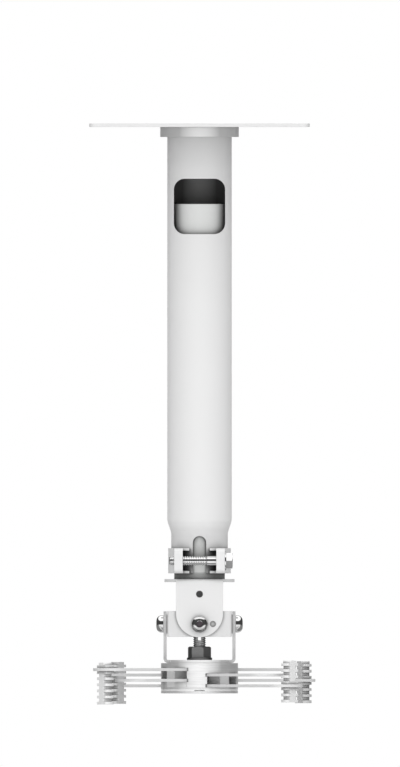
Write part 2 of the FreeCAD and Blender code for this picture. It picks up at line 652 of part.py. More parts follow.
def make_pivots():
    """The crossed pivots: two bolts front to back for roll, two side to side for tilt."""
    towards = {
        "front": FreeCAD.Rotation(FreeCAD.Vector(1, 0, 0), 90),
        "back": FreeCAD.Rotation(FreeCAD.Vector(1, 0, 0), -90),
        "right": FreeCAD.Rotation(FreeCAD.Vector(0, 1, 0), 90),
        "left": FreeCAD.Rotation(FreeCAD.Vector(0, 1, 0), -90),
    }
    signs = {"front": ("0", "0 - "), "back": ("0", ""), "right": ("", "0"), "left": ("0 - ", "0")}
    for side, rotation in towards.items():
        kind = "roll" if side in ("front", "back") else "tilt"
        sheet_thick = "yoke_thick" if kind == "roll" else "bracket_thick"
        face = YOKE_FACE if kind == "roll" else LEG_FACE

        def at(distance):
            across, depth = signs[side]
            if kind == "roll":
                return "0", depth + distance
            return across + distance, "0"

        bolt = make_button_bolt("%s_bolt_%s" % (kind, side), "(%s + thin_washer)" % sheet_thick)
        place(bolt, *at(face), PIVOT, rotation)
        washer = ring("%s_washer_%s" % (kind, side), "small_radius + shaft_gap", "thin_washer_radius",
                      "0", "thin_washer")
        place(washer, *at("cross_side / 2"), PIVOT, rotation)
        nut = make_hex_nut("%s_nut_%s" % (kind, side), "hex_small_flats", "small_nut_tall",
                           "small_radius + shaft_gap")
        place(nut, *at("(cross_side / 2 - cross_wall - small_nut_tall)"), PIVOT, rotation)


def make_lower_bracket():
    """A folded stirrup whose legs swing on the tilt bolts and whose base carries the hub."""
    body = new_body("lower_bracket")
    inside = "(%s - bracket_thick)" % LEG_FACE
    fold = new_sketch(body, "XZ_Plane")
    draw_outline(fold, [("0 - " + LEG_FACE, PIVOT), ("0 - " + LEG_FACE, BASE_UNDER), (LEG_FACE, BASE_UNDER),
                        (LEG_FACE, PIVOT), (inside, PIVOT), (inside, BASE_TOP),
                        ("0 - " + inside, BASE_TOP), ("0 - " + inside, PIVOT)])
    add_pad(body, fold, "bracket_leg_wide", both=True)
    add_fillet(body, "bracket_bend",
               lambda point: near(abs(point.x), LEG_FACE) and near(point.z, BASE_UNDER))
    add_fillet(body, "bracket_bend - bracket_thick",
               lambda point: near(abs(point.x), inside) and near(point.z, BASE_TOP))
    leg = new_sketch(body, "YZ_Plane", LEG_FACE)
    draw_circle(leg, "0", PIVOT, "bracket_leg_wide / 2")
    add_mirror(body, add_pad(body, leg, "bracket_thick", reverse=True), "YZ_Plane")
    base = new_sketch(body, "XY_Plane", BASE_UNDER)
    draw_circle(base, "0", "0", "(%s - bracket_bend)" % LEG_FACE)
    add_pad(body, base, "bracket_thick")
    centre = new_sketch(body, "XY_Plane", BASE_TOP)
    draw_circle(centre, "0", "0", "big_radius + shaft_gap")
    add_pocket(body, centre, "bracket_thick")
    tilt = new_sketch(body, "YZ_Plane")
    draw_circle(tilt, "0", PIVOT, "small_radius + shaft_gap")
    add_pocket(body, tilt, LEG_FACE + " * 2", both=True)


def make_centre_bolt():
    """The M10 bolt that the hub turns on, with its nut and washer on the bracket."""
    bolt = new_body("hub_bolt")
    top = "(%s - big_top_drop)" % PIVOT
    head_top = "(%s + big_head_tall)" % HUB_UNDER
    profile = [("0", HUB_UNDER), ("big_head_radius", HUB_UNDER), ("big_head_radius", head_top)]
    profile += [("big_radius", head_top), ("big_radius", top), ("0", top)]
    add_turning(bolt, profile)
    notch = new_sketch(bolt, "XZ_Plane")
    half = "big_notch_wide / 2"
    floor = "%s - big_notch_deep" % top
    draw_outline(notch, [("0 - " + half, floor), (half, floor), (half, top), ("0 - " + half, top)])
    add_pocket(bolt, notch, "big_radius * 2", both=True)
    ring("hub_washer", "big_radius + shaft_gap", "big_washer_radius", BASE_TOP,
         "%s + big_washer_thick" % BASE_TOP)
    nut = make_hex_nut("hub_nut", "big_nut_flats", "big_nut_tall", "big_radius + shaft_gap",
                       "big_nut_turn")
    place(nut, height="%s + big_washer_thick" % BASE_TOP)


def hub_strips():
    """Half widths of the passages, of the reliefs at the arms' levels and of the keys."""
    return "(arm_wide / 2 + strip_gap)", "(arm_wide / 2 + relief_gap)", "(arm_slot_wide / 2 - key_gap)"


def draw_bar(sketch, along_x, start, end, half):
    """A rectangle from start to end along one axis of the sketch."""
    corners = [(start, "0 - " + half), (end, "0 - " + half), (end, half), (start, half)]
    if not along_x:
        corners = [(up, across) for across, up in corners]
    draw_outline(sketch, corners)


def make_hub_body():
    """The hub: a cap over four pillars, with crossed passages and a key in each arm's slot."""
    body = new_body("hub_body")
    passage, relief, key = hub_strips()
    whole = new_sketch(body, "XY_Plane", COVER_TOP)
    draw_circle(whole, "0", "0", "hub_radius")
    add_pad(body, whole, "%s - %s" % (HUB_TOP, COVER_TOP))
    for step, along_x in ((0, True), (1, False)):
        ceiling = "(%s + arm_thick / 2 + level_gap)" % arm_level(step)
        depth = "%s - %s" % (ceiling, COVER_TOP)
        cut = new_sketch(body, "XY_Plane", ceiling)
        draw_bar(cut, along_x, "0 - hub_radius", "hub_radius", passage)
        add_pocket(body, cut, depth)
        for level in (step, step + 2):
            groove = new_sketch(body, "XY_Plane", "(%s + arm_thick / 2 + level_gap)" % arm_level(level))
            draw_bar(groove, along_x, "0 - hub_radius", "hub_radius", relief)
            add_pocket(body, groove, "arm_thick + level_gap * 2")
        keys = new_sketch(body, "XY_Plane", COVER_TOP)
        rim = "sqrt(hub_radius ^ 2 - %s ^ 2)" % key
        draw_bar(keys, along_x, relief, rim, key)
        draw_bar(keys, along_x, "0 - " + rim, "0 - " + relief, key)
        add_pad(body, keys, depth)
    bore = new_sketch(body, "XY_Plane", HUB_TOP)
    draw_circle(bore, "0", "0", "big_radius + shaft_gap")
    add_pocket(body, bore, "hub_tall")
    place(body)
    turn_about_z(body, HUB_TURN)


def make_hub_cover():
    """The hub's floor, with four pads that fill one passage below its lower arm."""
    body = new_body("hub_cover")
    passage, relief, key = hub_strips()
    line = "(%s + cover_foot)" % HUB_UNDER
    rim = "hub_radius"
    profile = [("0", HUB_UNDER), (rim, HUB_UNDER), (rim, line), (rim + " - cover_groove", line)]
    profile += [(rim + " - cover_groove", line + " + cover_groove"), (rim, line + " + cover_groove * 2")]
    profile += [(rim, COVER_TOP), ("0", COVER_TOP)]
    add_turning(body, profile)
    pads = new_sketch(body, "XY_Plane", COVER_TOP)
    pad_top = "(%s - arm_thick / 2 - level_gap)" % arm_level(2)
    side = "(arm_wide / 2)"
    inner = "(%s + key_gap)" % key
    for sign in ("", "0 - "):
        for turned in ("", "0 - "):
            draw_outline(pads, [(sign + relief, turned + inner), (sign + rim, turned + inner),
                                (sign + rim, turned + side), (sign + relief, turned + side)])
    add_pad(body, pads, "%s - %s" % (pad_top, COVER_TOP))
    past = new_sketch(body, "XY_Plane", pad_top)
    draw_circle(past, "0", "0", rim)
    draw_circle(past, "0", "0", rim + " * 2")
    add_pocket(body, past, "%s - %s" % (pad_top, COVER_TOP))
    seat = new_sketch(body, "XY_Plane", HUB_UNDER)
    draw_circle(seat, "0", "0", "big_head_radius + big_head_gap")
    add_pocket(body, seat, "big_head_tall", reverse=True)
    bore = new_sketch(body, "XY_Plane", COVER_TOP)
    draw_circle(bore, "0", "0", "big_radius + shaft_gap")
    add_pocket(body, bore, "hub_tall")
    notch_high = line + " + cover_groove * 2"
    notch = new_sketch(body, "XY_Plane", notch_high)
    notch.setExpression(".AttachmentOffset.Rotation.Angle", sized("0 - " + HUB_TURN))
    half = "cover_notch_wide / 2"
    floor = "cover_notch_deep - hub_radius"
    draw_outline(notch, [("0 - " + half, "0 - hub_radius"), (half, "0 - hub_radius"),
                         (half, floor), ("0 - " + half, floor)])
    add_pocket(body, notch, "cover_notch_tall")
    place(body)
    turn_about_z(body, HUB_TURN)


def make_arm(label, bearing, reach, step):
    """A slotted flat bar: its head carries a post and its tail runs through the hub."""
    body = new_body(label)
    tail = "(%s + post_to_tip - arm_length + arm_wide / 2)" % reach
    head = "(%s + post_to_tip - arm_wide / 2)" % reach
    outline = new_sketch(body, "XY_Plane", "0 - arm_thick / 2")
    draw_obround(outline, tail, head, "arm_wide / 2")
    add_pad(body, outline, "arm_thick")
    slot = new_sketch(body, "XY_Plane", "arm_thick / 2")
    draw_obround(slot, "(%s + %s)" % (reach, TAIL_SLOT), reach, "arm_slot_wide / 2")
    add_pocket(body, slot, "arm_thick")
    place(body, height=arm_level(step))
    turn_about_z(body, bearing)


def make_post(label, bearing, reach, step):
    """A grooved stud: fins on two sides hold the arm's slot, flats let it through when turned."""
    body = new_body(label)
    profile = [("post_bore", "0"), ("fin_radius", "0")]
    for groove in range(POST_GROOVES):
        top = "0 - post_cap - (post_groove + post_fin) * %d" % groove
        profile += [("fin_radius", top), ("core_radius", top)]
        profile += [("core_radius", top + " - post_groove"), ("fin_radius", top + " - post_groove")]
    foot = "0 - post_cap - (post_groove + post_fin) * %d" % POST_GROOVES
    profile += [("fin_radius", foot), ("post_bore", foot)]
    add_turning(body, profile)
    flats = new_sketch(body, "XY_Plane")
    draw_outline(flats, [("post_flat", "0 - fin_radius"), ("fin_radius", "0 - fin_radius"),
                         ("fin_radius", "fin_radius"), ("post_flat", "fin_radius")])
    add_mirror(body, add_pocket(body, flats, "0 - (%s)" % foot), "YZ_Plane")
    angle = "((%s) * 1deg)" % bearing
    seat = "(post_cap + post_groove / 2 + (post_groove + post_fin) * %d)" % step
    place(body, "%s * cos(%s)" % (reach, angle), "%s * sin(%s)" % (reach, angle),
          "%s + %s" % (arm_level(step), seat))
    turn_about_z(body, bearing)


def make_arms():
    """Four arms on four levels, each with its post, a quarter turn apart."""
    corners = [
        ("front_left", 225, "reach_near"),
        ("back_left", 135, "reach_near"),
        ("back_right", 45, "reach_far"),
        ("front_right", -45, "reach_far"),
    ]
    for step, (corner, diagonal, reach) in enumerate(corners):
        bearing = "%d - hub_yaw" % diagonal
        make_arm("arm_" + corner, bearing, reach, step)
        make_post("post_" + corner, bearing, reach, step)


make_ceiling_plate()
make_collar_ring()
make_outer_tube()
make_clamp_collar()
make_clamp_bolt()
make_guide_bush()
make_inner_tube()
make_upper_yoke()
make_cross_frame()
make_pivots()
make_lower_bracket()
make_centre_bolt()
make_hub_body()
make_hub_cover()
make_arms()
doc.recompute()

for item in doc.Objects:
    if "Invalid" in item.State or "Error" in item.State:
        raise RuntimeError("%s is not sound: %s" % (item.Label, item.State))

os.makedirs("parts", exist_ok=True)
for item in doc.Objects:
    if item.TypeId != "PartDesign::Body":
        continue
    shape = item.Shape
    if shape.isNull() or not shape.isValid() or len(shape.Solids) != 1:
        raise RuntimeError("%s is not one valid solid" % item.Label)
    shape.exportStep("parts/%s.step" % item.Label)
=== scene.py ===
"""The look of a telescopic projector ceiling mount, built round its CAD frame.

Shapes are made in millimetres in the part's own frame and scaled to metres when
they are finished: +Z is up into the ceiling and -Y is the front.
"""

import json
import math

import bmesh
import bpy
from mathutils import Matrix, Vector


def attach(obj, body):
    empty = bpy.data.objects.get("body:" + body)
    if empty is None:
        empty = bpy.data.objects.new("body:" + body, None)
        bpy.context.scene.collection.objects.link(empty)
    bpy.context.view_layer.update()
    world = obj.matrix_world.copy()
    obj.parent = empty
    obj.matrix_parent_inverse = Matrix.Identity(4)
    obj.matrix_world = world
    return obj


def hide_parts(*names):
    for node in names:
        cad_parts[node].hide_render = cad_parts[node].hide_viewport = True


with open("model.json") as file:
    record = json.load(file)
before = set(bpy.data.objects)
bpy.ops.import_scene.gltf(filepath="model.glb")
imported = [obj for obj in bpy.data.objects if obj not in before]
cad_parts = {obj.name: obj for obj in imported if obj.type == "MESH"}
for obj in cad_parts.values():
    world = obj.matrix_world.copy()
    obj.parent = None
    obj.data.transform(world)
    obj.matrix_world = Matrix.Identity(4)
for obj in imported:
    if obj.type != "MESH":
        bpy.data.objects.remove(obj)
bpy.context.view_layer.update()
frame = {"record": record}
BODY_OF = {}
for body_name, members in frame["record"]["behaviour"]["bodies"].items():
    for member in members:
        BODY_OF[member] = body_name

# Heights in millimetres, from the ceiling down.
PLATE_UNDER = -3.0
WINDOW_TOP = -46.3
WINDOW_FOOT = -92.6
BUSH_TOP = -100.4
BUSH_FOOT = -114.4
SLOT_CROWN = -350.9
CLAMP_AXIS = -366.05
NECK_END = -376.6
YOKE_TOP = -381.4
PIVOT = -419.0
BASE_TOP = -449.1
HUB_TOP = -451.75
COVER_TOP = -472.09
HUB_UNDER = -477.1

# The ceiling plate and the tubes, in millimetres.
PLATE_HALF = 92.3
SCREW_PLACE = 75.0
SCREW_HOLE = 3.5
CABLE_HOLE = 15.0
TUBE = 27.0
TUBE_BORE = 24.7
NECK = 23.7
NECK_HEIGHT = 34.2
TAPER_HEIGHT = 9.7
WINDOW_HALF = 21.45
INNER = 21.2
INNER_BORE = 19.2
INNER_LENGTH = 314.0
DENT = 0.8

# Sheets, bolts and washers, in millimetres.
YOKE_SHEET = 2.5
YOKE_FACE = 30.0
LEG_SHEET = 2.65
LEG_FACE = 30.15
FRAME_HALF = 27.0
CLAMP_DEPTH = -30.0
EAR_FACE = 21.25
SMALL_BOLT = 4.0
SMALL_HOLE = 4.05
SMALL_PITCH = 1.93
SMALL_NUT = 13.0
SMALL_WASHER = 8.0
BUTTON_HEAD = 6.1
SOCKET = 5.0
BIG_BOLT = 5.0
BIG_HOLE = 5.05
BIG_PITCH = 1.674
BIG_NUT = 17.0
BIG_HEAD_DEPTH = 2.4

# The hub, its arms and their posts, in millimetres and degrees.
HUB = 32.25
HUB_TURN = 41.0
HUB_PASSAGE = 15.9
HUB_RELIEF = 17.1
HUB_KEY = 5.15
LEVEL_PITCH = 4.53
LEVEL_HALF = 1.35
ARM_LENGTH = 212.0
ARM_HALF = 15.8
ARM_SLOT = 5.25
ARM_SHEET = 2.5
POST_TIP = 8.4
POST_PITCH = 5.1

# A place past every piece, a gap that keeps two faces out of one plane, and the sides of a large round.
FAR = 60.0
HAIR = 0.02
ROUND = 160

# Each arm: bearing in degrees, reach of its post and level counted from the top.
ARMS = {
    "front_left": (221.0, 104.5, 0),
    "back_left": (131.0, 104.5, 1),
    "back_right": (41.0, 115.0, 2),
    "front_right": (-49.0, 115.0, 3),
}


# Outlines in two dimensions


def arc(across, up, radius, start, end, steps):
    """Points on an arc between two angles in degrees."""
    points = []
    for step in range(steps + 1):
        angle = math.radians(start + (end - start) * step / steps)
        points.append((across + radius * math.cos(angle), up + radius * math.sin(angle)))
    return points


def circle(across, up, radius, steps):
    return arc(across, up, radius, 0, 360, steps)[:-1]


def box_outline(left, right, low, high):
    return [(left, low), (right, low), (right, high), (left, high)]


def softened(corners, steps=3):
    """Rounds the corners of a closed outline, each one (across, up, radius)."""
    points = []
    for index, (across, up, radius) in enumerate(corners):
        here = Vector((across, up))
        if radius == 0:
            points.append((across, up))
            continue
        before = (Vector(corners[index - 1][:2]) - here).normalized()
        after = (Vector(corners[(index + 1) % len(corners)][:2]) - here).normalized()
        half = before.angle(after) / 2
        centre = here + (before + after).normalized() * radius / math.sin(half)
        first = here + before * radius / math.tan(half) - centre
        last = here + after * radius / math.tan(half) - centre
        start = math.degrees(math.atan2(first.y, first.x))
        sweep = math.degrees(math.atan2(last.y, last.x)) - start
        sweep = (sweep + 180) % 360 - 180
        points += arc(centre.x, centre.y, radius, start, start + sweep, steps)
    return points


def rounded_box(left, right, low, high, radius, steps=8):
    corners = box_outline(left, right, low, high)
    return softened([(across, up, radius) for across, up in corners], steps)


def obround(left, right, radius):
    """A round-ended bar between two centres on the first axis."""
    return arc(right, 0, radius, -90, 90, 24) + arc(left, 0, radius, 90, 270, 24)


def hexagon(flats, turn=0.0):
    return arc(0, 0, flats / 2 / math.cos(math.pi / 6), turn, turn + 360, 6)[:-1]


# Meshes and the tools that shape them


def closed_mesh(verts, faces):
    """A mesh whose doubles are merged and whose faces point outwards."""
    mesh = bpy.data.meshes.new("part")
    mesh.from_pydata(verts, [], faces)
    return welded(mesh)


def welded(mesh):
    work = bmesh.new()
    work.from_mesh(mesh)
    bmesh.ops.remove_doubles(work, verts=work.verts, dist=1e-4)
    bmesh.ops.recalc_face_normals(work, faces=work.faces)
    work.to_mesh(mesh)
    work.free()
    return mesh


def lathe(outline, segments):
    """A closed solid turned about Z from (radius, height) points."""
    verts = []
    for radius, height in outline:
        for step in range(segments):
            angle = 2 * math.pi * step / segments
            verts.append((radius * math.cos(angle), radius * math.sin(angle), height))
    faces = []
    count = len(outline)
    for index in range(count):
        following = (index + 1) % count
        here = outline[index][0] > 1e-6
        there = outline[following][0] > 1e-6
        if not here and not there:
            continue
        for step in range(segments):
            after = (step + 1) % segments
            corners = [index * segments + step]
            if here:
                corners.append(index * segments + after)
            if there:
                corners.append(following * segments + after)
            corners.append(following * segments + step)
            faces.append(corners)
    return closed_mesh(verts, faces)


def prism(outline, low, high, axis="Z"):
    """A straight solid on an outline seen along Z, or along Y from the front, or along X."""
    turns = {
        "Z": lambda a, b, c: (a, b, c),
        "Y": lambda a, b, c: (a, c, b),
        "X": lambda a, b, c: (c, a, b),
    }
    place = turns[axis]
    count = len(outline)
    verts = [place(a, b, low) for a, b in outline] + [place(a, b, high) for a, b in outline]
    faces = [list(range(count)), list(range(2 * count - 1, count - 1, -1))]
    for index in range(count):
        following = (index + 1) % count
        faces.append([index, following, following + count, index + count])
    return closed_mesh(verts, faces)


def merged(*meshes):
    """Several closed shells in one mesh."""
    work = bmesh.new()
    for mesh in meshes:
        work.from_mesh(mesh)
    together = bpy.data.meshes.new("part")
    work.to_mesh(together)
    work.free()
    return together


def moved(mesh, across=0.0, depth=0.0, height=0.0, turn=0.0, axis="Z"):
    """Turns a mesh by degrees about one axis and then moves it."""
    turning = Matrix.Rotation(math.radians(turn), 4, axis)
    mesh.transform(Matrix.Translation((across, depth, height)) @ turning)
    return mesh


def settled(obj):
    """The mesh of an object with its modifiers applied; the object is removed."""
    bpy.context.view_layer.update()
    graph = bpy.context.evaluated_depsgraph_get()
    mesh = bpy.data.meshes.new_from_object(obj.evaluated_get(graph))
    bpy.data.objects.remove(obj)
    return mesh


def helper(mesh):
    obj = bpy.data.objects.new("helper", mesh)
    bpy.context.scene.collection.objects.link(obj)
    return obj


def rod(radius, low, high, axis="Z", across=0.0, up=0.0, steps=48):
    """A round solid along one axis, with its centre at a place seen along it."""
    return prism(circle(across, up, radius, steps), low, high, axis)


def carved(solid, operation, *tools):
    """Cuts, joins or intersects a solid with others by exact booleans."""
    obj = helper(solid)
    others = [helper(tool) for tool in tools]
    for other in others:
        step = obj.modifiers.new("carve", "BOOLEAN")
        step.operation = operation
        step.solver = "EXACT"
        step.object = other
    mesh = settled(obj)
    for other in others:
        bpy.data.objects.remove(other)
    return welded(mesh)


def softened_edges(mesh, width, limit=40.0):
    """Rounds the edges that are sharper than a limit in degrees."""
    obj = helper(mesh)
    step = obj.modifiers.new("edges", "BEVEL")
    step.width = width
    step.segments = 2
    step.limit_method = "ANGLE"
    step.angle_limit = math.radians(limit)
    step.use_clamp_overlap = False
    return settled(obj)


def flat_shaded(mesh):
    """Gives large flat faces their own normal, so that rounded edges don't shade them."""
    obj = helper(mesh)
    step = obj.modifiers.new("normals", "WEIGHTED_NORMAL")
    step.keep_sharp = True
    return settled(obj)


# Geometry node trees for what repeats


def new_tree(name, inputs):
    """A geometry node tree with a geometry in and out and named inputs."""
    tree = bpy.data.node_groups.new(name, "GeometryNodeTree")
    tree.interface.new_socket("Geometry", in_out="INPUT", socket_type="NodeSocketGeometry")
    for label, kind, value in inputs:
        socket = tree.interface.new_socket(label, in_out="INPUT", socket_type="NodeSocket" + kind)
        if value is not None:
            socket.default_value = value
    tree.interface.new_socket("Geometry", in_out="OUTPUT", socket_type="NodeSocketGeometry")
    entry = tree.nodes.new("NodeGroupInput")
    leave = tree.nodes.new("NodeGroupOutput")
    return tree, entry, leave


class Wires:
    """Short words for adding nodes to a tree and joining them."""

    def __init__(self, tree):
        self.tree = tree

    def add(self, kind, **settings):
        node = self.tree.nodes.new(kind)
        for key, value in settings.items():
            setattr(node, key, value)
        return node

    def join(self, source, target):
        self.tree.links.new(source, target)

    def math(self, operation, first, second=0.0, third=None, clamp=False):
        node = self.add("ShaderNodeMath", operation=operation, use_clamp=clamp)
        for index, value in enumerate((first, second, third)):
            if value is None:
                continue
            if isinstance(value, (int, float)):
                node.inputs[index].default_value = value
            else:
                self.join(value, node.inputs[index])
        return node.outputs[0]


def thread_tree():
    """A threaded rod: a grid rolled into a closed rod whose radius follows a helix."""
    inputs = [("Radius", "Float", 4.0), ("Pitch", "Float", 1.25), ("Depth", "Float", 0.7),
              ("Length", "Float", 20.0), ("Around", "Int", 48), ("Along", "Int", 128),
              ("Chamfer", "Float", 0.8), ("Material", "Material", None)]
    tree, entry, leave = new_tree("Threaded rod", inputs)
    wires = Wires(tree)
    given = entry.outputs
    grid = wires.add("GeometryNodeMeshGrid")
    grid.inputs["Size X"].default_value = 1.0
    grid.inputs["Size Y"].default_value = 1.0
    wires.join(given["Around"], grid.inputs["Vertices X"])
    wires.join(given["Along"], grid.inputs["Vertices Y"])
    position = wires.add("GeometryNodeInputPosition")
    parts = wires.add("ShaderNodeSeparateXYZ")
    wires.join(position.outputs[0], parts.inputs[0])
    around = wires.math("ADD", parts.outputs["X"], 0.5)
    along = wires.math("ADD", parts.outputs["Y"], 0.5)
    rows = wires.math("SUBTRACT", given["Along"], 1.0)
    row = wires.math("MULTIPLY", along, rows)
    inner_rows = wires.math("SUBTRACT", rows, 2.0)
    share = wires.math("DIVIDE", wires.math("SUBTRACT", row, 1.0), inner_rows, clamp=True)
    height = wires.math("MULTIPLY", share, given["Length"])
    turns = wires.math("SUBTRACT", wires.math("DIVIDE", height, given["Pitch"]), around)
    phase = wires.math("FRACT", wires.math("ADD", turns, 8.0))
    ridge = wires.math("ABSOLUTE", wires.math("SUBTRACT", wires.math("MULTIPLY", phase, 2.0), 1.0))
    flank = wires.math("DIVIDE", wires.math("SUBTRACT", ridge, 0.30), 0.45, clamp=True)
    cut = wires.math("MULTIPLY", flank, given["Depth"])
    thread = wires.math("SUBTRACT", given["Radius"], cut)
    to_end = wires.math("SUBTRACT", given["Length"], height)
    nearest = wires.math("MINIMUM", height, to_end)
    bevel = wires.math("SUBTRACT", given["Radius"], given["Chamfer"])
    limit = wires.math("ADD", bevel, nearest)
    radius = wires.math("MINIMUM", thread, limit)
    inside_low = wires.math("GREATER_THAN", row, 0.5)
    inside_high = wires.math("LESS_THAN", row, wires.math("SUBTRACT", rows, 0.5))
    closed = wires.math("MULTIPLY", radius, wires.math("MULTIPLY", inside_low, inside_high))
    angle = wires.math("MULTIPLY", around, 2 * math.pi)
    place = wires.add("ShaderNodeCombineXYZ")
    wires.join(wires.math("MULTIPLY", closed, wires.math("COSINE", angle)), place.inputs["X"])
    wires.join(wires.math("MULTIPLY", closed, wires.math("SINE", angle)), place.inputs["Y"])
    wires.join(height, place.inputs["Z"])
    roll = wires.add("GeometryNodeSetPosition")
    wires.join(grid.outputs["Mesh"], roll.inputs["Geometry"])
    wires.join(place.outputs[0], roll.inputs["Position"])
    weld = wires.add("GeometryNodeMergeByDistance")
    weld.inputs["Distance"].default_value = 1e-4
    wires.join(roll.outputs[0], weld.inputs["Geometry"])
    finish_tree(wires, weld.outputs[0], given["Material"], leave)
    return tree


def finish_tree(wires, geometry, material, leave):
    """Ends a tree in Realize Instances and Set Material."""
    real = wires.add("GeometryNodeRealizeInstances")
    wires.join(geometry, real.inputs[0])
    paint = wires.add("GeometryNodeSetMaterial")
    wires.join(real.outputs[0], paint.inputs["Geometry"])
    wires.join(material, paint.inputs["Material"])
    wires.join(paint.outputs[0], leave.inputs[0])


def ring_tree():
    """Copies of one shape set round the Z axis, all facing outwards."""
    inputs = [("Count", "Int", 2), ("Start", "Float", 0.0), ("Material", "Material", None)]
    tree, entry, leave = new_tree("Set round an axis", inputs)
    wires = Wires(tree)
    line = wires.add("GeometryNodeMeshLine")
    wires.join(entry.outputs["Count"], line.inputs["Count"])
    line.inputs["Offset"].default_value = (0.0, 0.0, 0.0)
    copies = wires.add("GeometryNodeInstanceOnPoints")
    wires.join(line.outputs[0], copies.inputs["Points"])
    wires.join(entry.outputs["Geometry"], copies.inputs["Instance"])
    index = wires.add("GeometryNodeInputIndex")
    step = wires.math("DIVIDE", 2 * math.pi, entry.outputs["Count"])
    angle = wires.math("MULTIPLY_ADD", index.outputs[0], step, entry.outputs["Start"])
    turn = wires.add("ShaderNodeCombineXYZ")
    wires.join(angle, turn.inputs["Z"])
    wires.join(turn.outputs[0], copies.inputs["Rotation"])
    finish_tree(wires, copies.outputs[0], entry.outputs["Material"], leave)
    return tree


def stack_tree():
    """One marked section repeated down the Z axis and welded to the rest of its mesh."""
    inputs = [("Count", "Int", 6), ("Pitch", "Float", 5.1), ("Material", "Material", None)]
    tree, entry, leave = new_tree("Stacked sections", inputs)
    wires = Wires(tree)
    marked = wires.add("GeometryNodeInputNamedAttribute", data_type="BOOLEAN")
    marked.inputs["Name"].default_value = "repeats"
    split = wires.add("GeometryNodeSeparateGeometry", domain="FACE")
    wires.join(entry.outputs["Geometry"], split.inputs["Geometry"])
    wires.join(marked.outputs["Attribute"], split.inputs["Selection"])
    offset = wires.add("ShaderNodeCombineXYZ")
    wires.join(wires.math("MULTIPLY", entry.outputs["Pitch"], -1.0), offset.inputs["Z"])
    line = wires.add("GeometryNodeMeshLine")
    wires.join(entry.outputs["Count"], line.inputs["Count"])
    wires.join(offset.outputs[0], line.inputs["Offset"])
    copies = wires.add("GeometryNodeInstanceOnPoints")
    wires.join(line.outputs[0], copies.inputs["Points"])
    wires.join(split.outputs["Selection"], copies.inputs["Instance"])
    real = wires.add("GeometryNodeRealizeInstances")
    wires.join(copies.outputs[0], real.inputs[0])
    both = wires.add("GeometryNodeJoinGeometry")
    wires.join(real.outputs[0], both.inputs[0])
    wires.join(split.outputs["Inverted"], both.inputs[0])
    weld = wires.add("GeometryNodeMergeByDistance")
    weld.inputs["Distance"].default_value = 1e-3
    wires.join(both.outputs[0], weld.inputs["Geometry"])
    finish_tree(wires, weld.outputs[0], entry.outputs["Material"], leave)
    return tree


def grown(mesh, tree, **values):
    """Runs a geometry node tree on a mesh and returns the plain result."""
    obj = helper(mesh or bpy.data.meshes.new("seed"))
    step = obj.modifiers.new("grow", "NODES")
    step.node_group = tree
    for item in tree.interface.items_tree:
        if item.item_type == "SOCKET" and item.in_out == "INPUT" and item.name in values:
            step[item.identifier] = values[item.name]
    return settled(obj)


# Shader groups and finishes


def new_group(name, inputs, outputs):
    tree = bpy.data.node_groups.new(name, "ShaderNodeTree")
    for label, kind, value in inputs:
        socket = tree.interface.new_socket(label, in_out="INPUT", socket_type="NodeSocket" + kind)
        socket.default_value = value
    for label, kind in outputs:
        tree.interface.new_socket(label, in_out="OUTPUT", socket_type="NodeSocket" + kind)
    return tree, tree.nodes.new("NodeGroupInput"), tree.nodes.new("NodeGroupOutput")


def noise(wires, place, scale, detail, roughness=0.5):
    node = wires.add("ShaderNodeTexNoise")
    wires.join(place, node.inputs["Vector"])
    node.inputs["Scale"].default_value = scale
    node.inputs["Detail"].default_value = detail
    node.inputs["Roughness"].default_value = roughness
    return node.outputs["Fac"]


def object_place(wires):
    return wires.add("ShaderNodeTexCoord").outputs["Object"]


def rising(wires, value, start, rate):
    """0 up to a start, then climbing to 1 at a rate; a negative rate climbs below the start."""
    return wires.math("MULTIPLY", wires.math("SUBTRACT", value, start), rate, clamp=True)


def tinted(wires, colour, factor):
    """A colour multiplied by a grey factor."""
    node = wires.add("ShaderNodeVectorMath", operation="SCALE")
    wires.join(colour, node.inputs[0])
    wires.join(factor, node.inputs["Scale"])
    return node.outputs[0]


def powder_group():
    """Powder coat: a faint cloudiness, a sanded sheen and a fine orange peel."""
    tree, entry, leave = new_group(
        "Powder coat",
        [("Colour", "Color", (0.8, 0.8, 0.8, 1)), ("Cloud", "Float", 0.03), ("Roughness", "Float", 0.45)],
        [("Colour", "Color"), ("Roughness", "Float"), ("Height", "Float")])
    wires = Wires(tree)
    place = object_place(wires)
    cloud = wires.math("SUBTRACT", noise(wires, place, 28.0, 3.0), 0.5)
    factor = wires.math("MULTIPLY_ADD", cloud, entry.outputs["Cloud"], 1.0)
    wires.join(tinted(wires, entry.outputs["Colour"], factor), leave.inputs["Colour"])
    speck = wires.math("SUBTRACT", noise(wires, place, 420.0, 2.0), 0.5)
    rough = wires.math("MULTIPLY_ADD", speck, 0.12, entry.outputs["Roughness"])
    wires.join(rough, leave.inputs["Roughness"])
    peel = wires.math("ADD", noise(wires, place, 900.0, 1.0), noise(wires, place, 2600.0, 1.0))
    wires.join(wires.math("MULTIPLY", peel, 0.5), leave.inputs["Height"])
    return tree


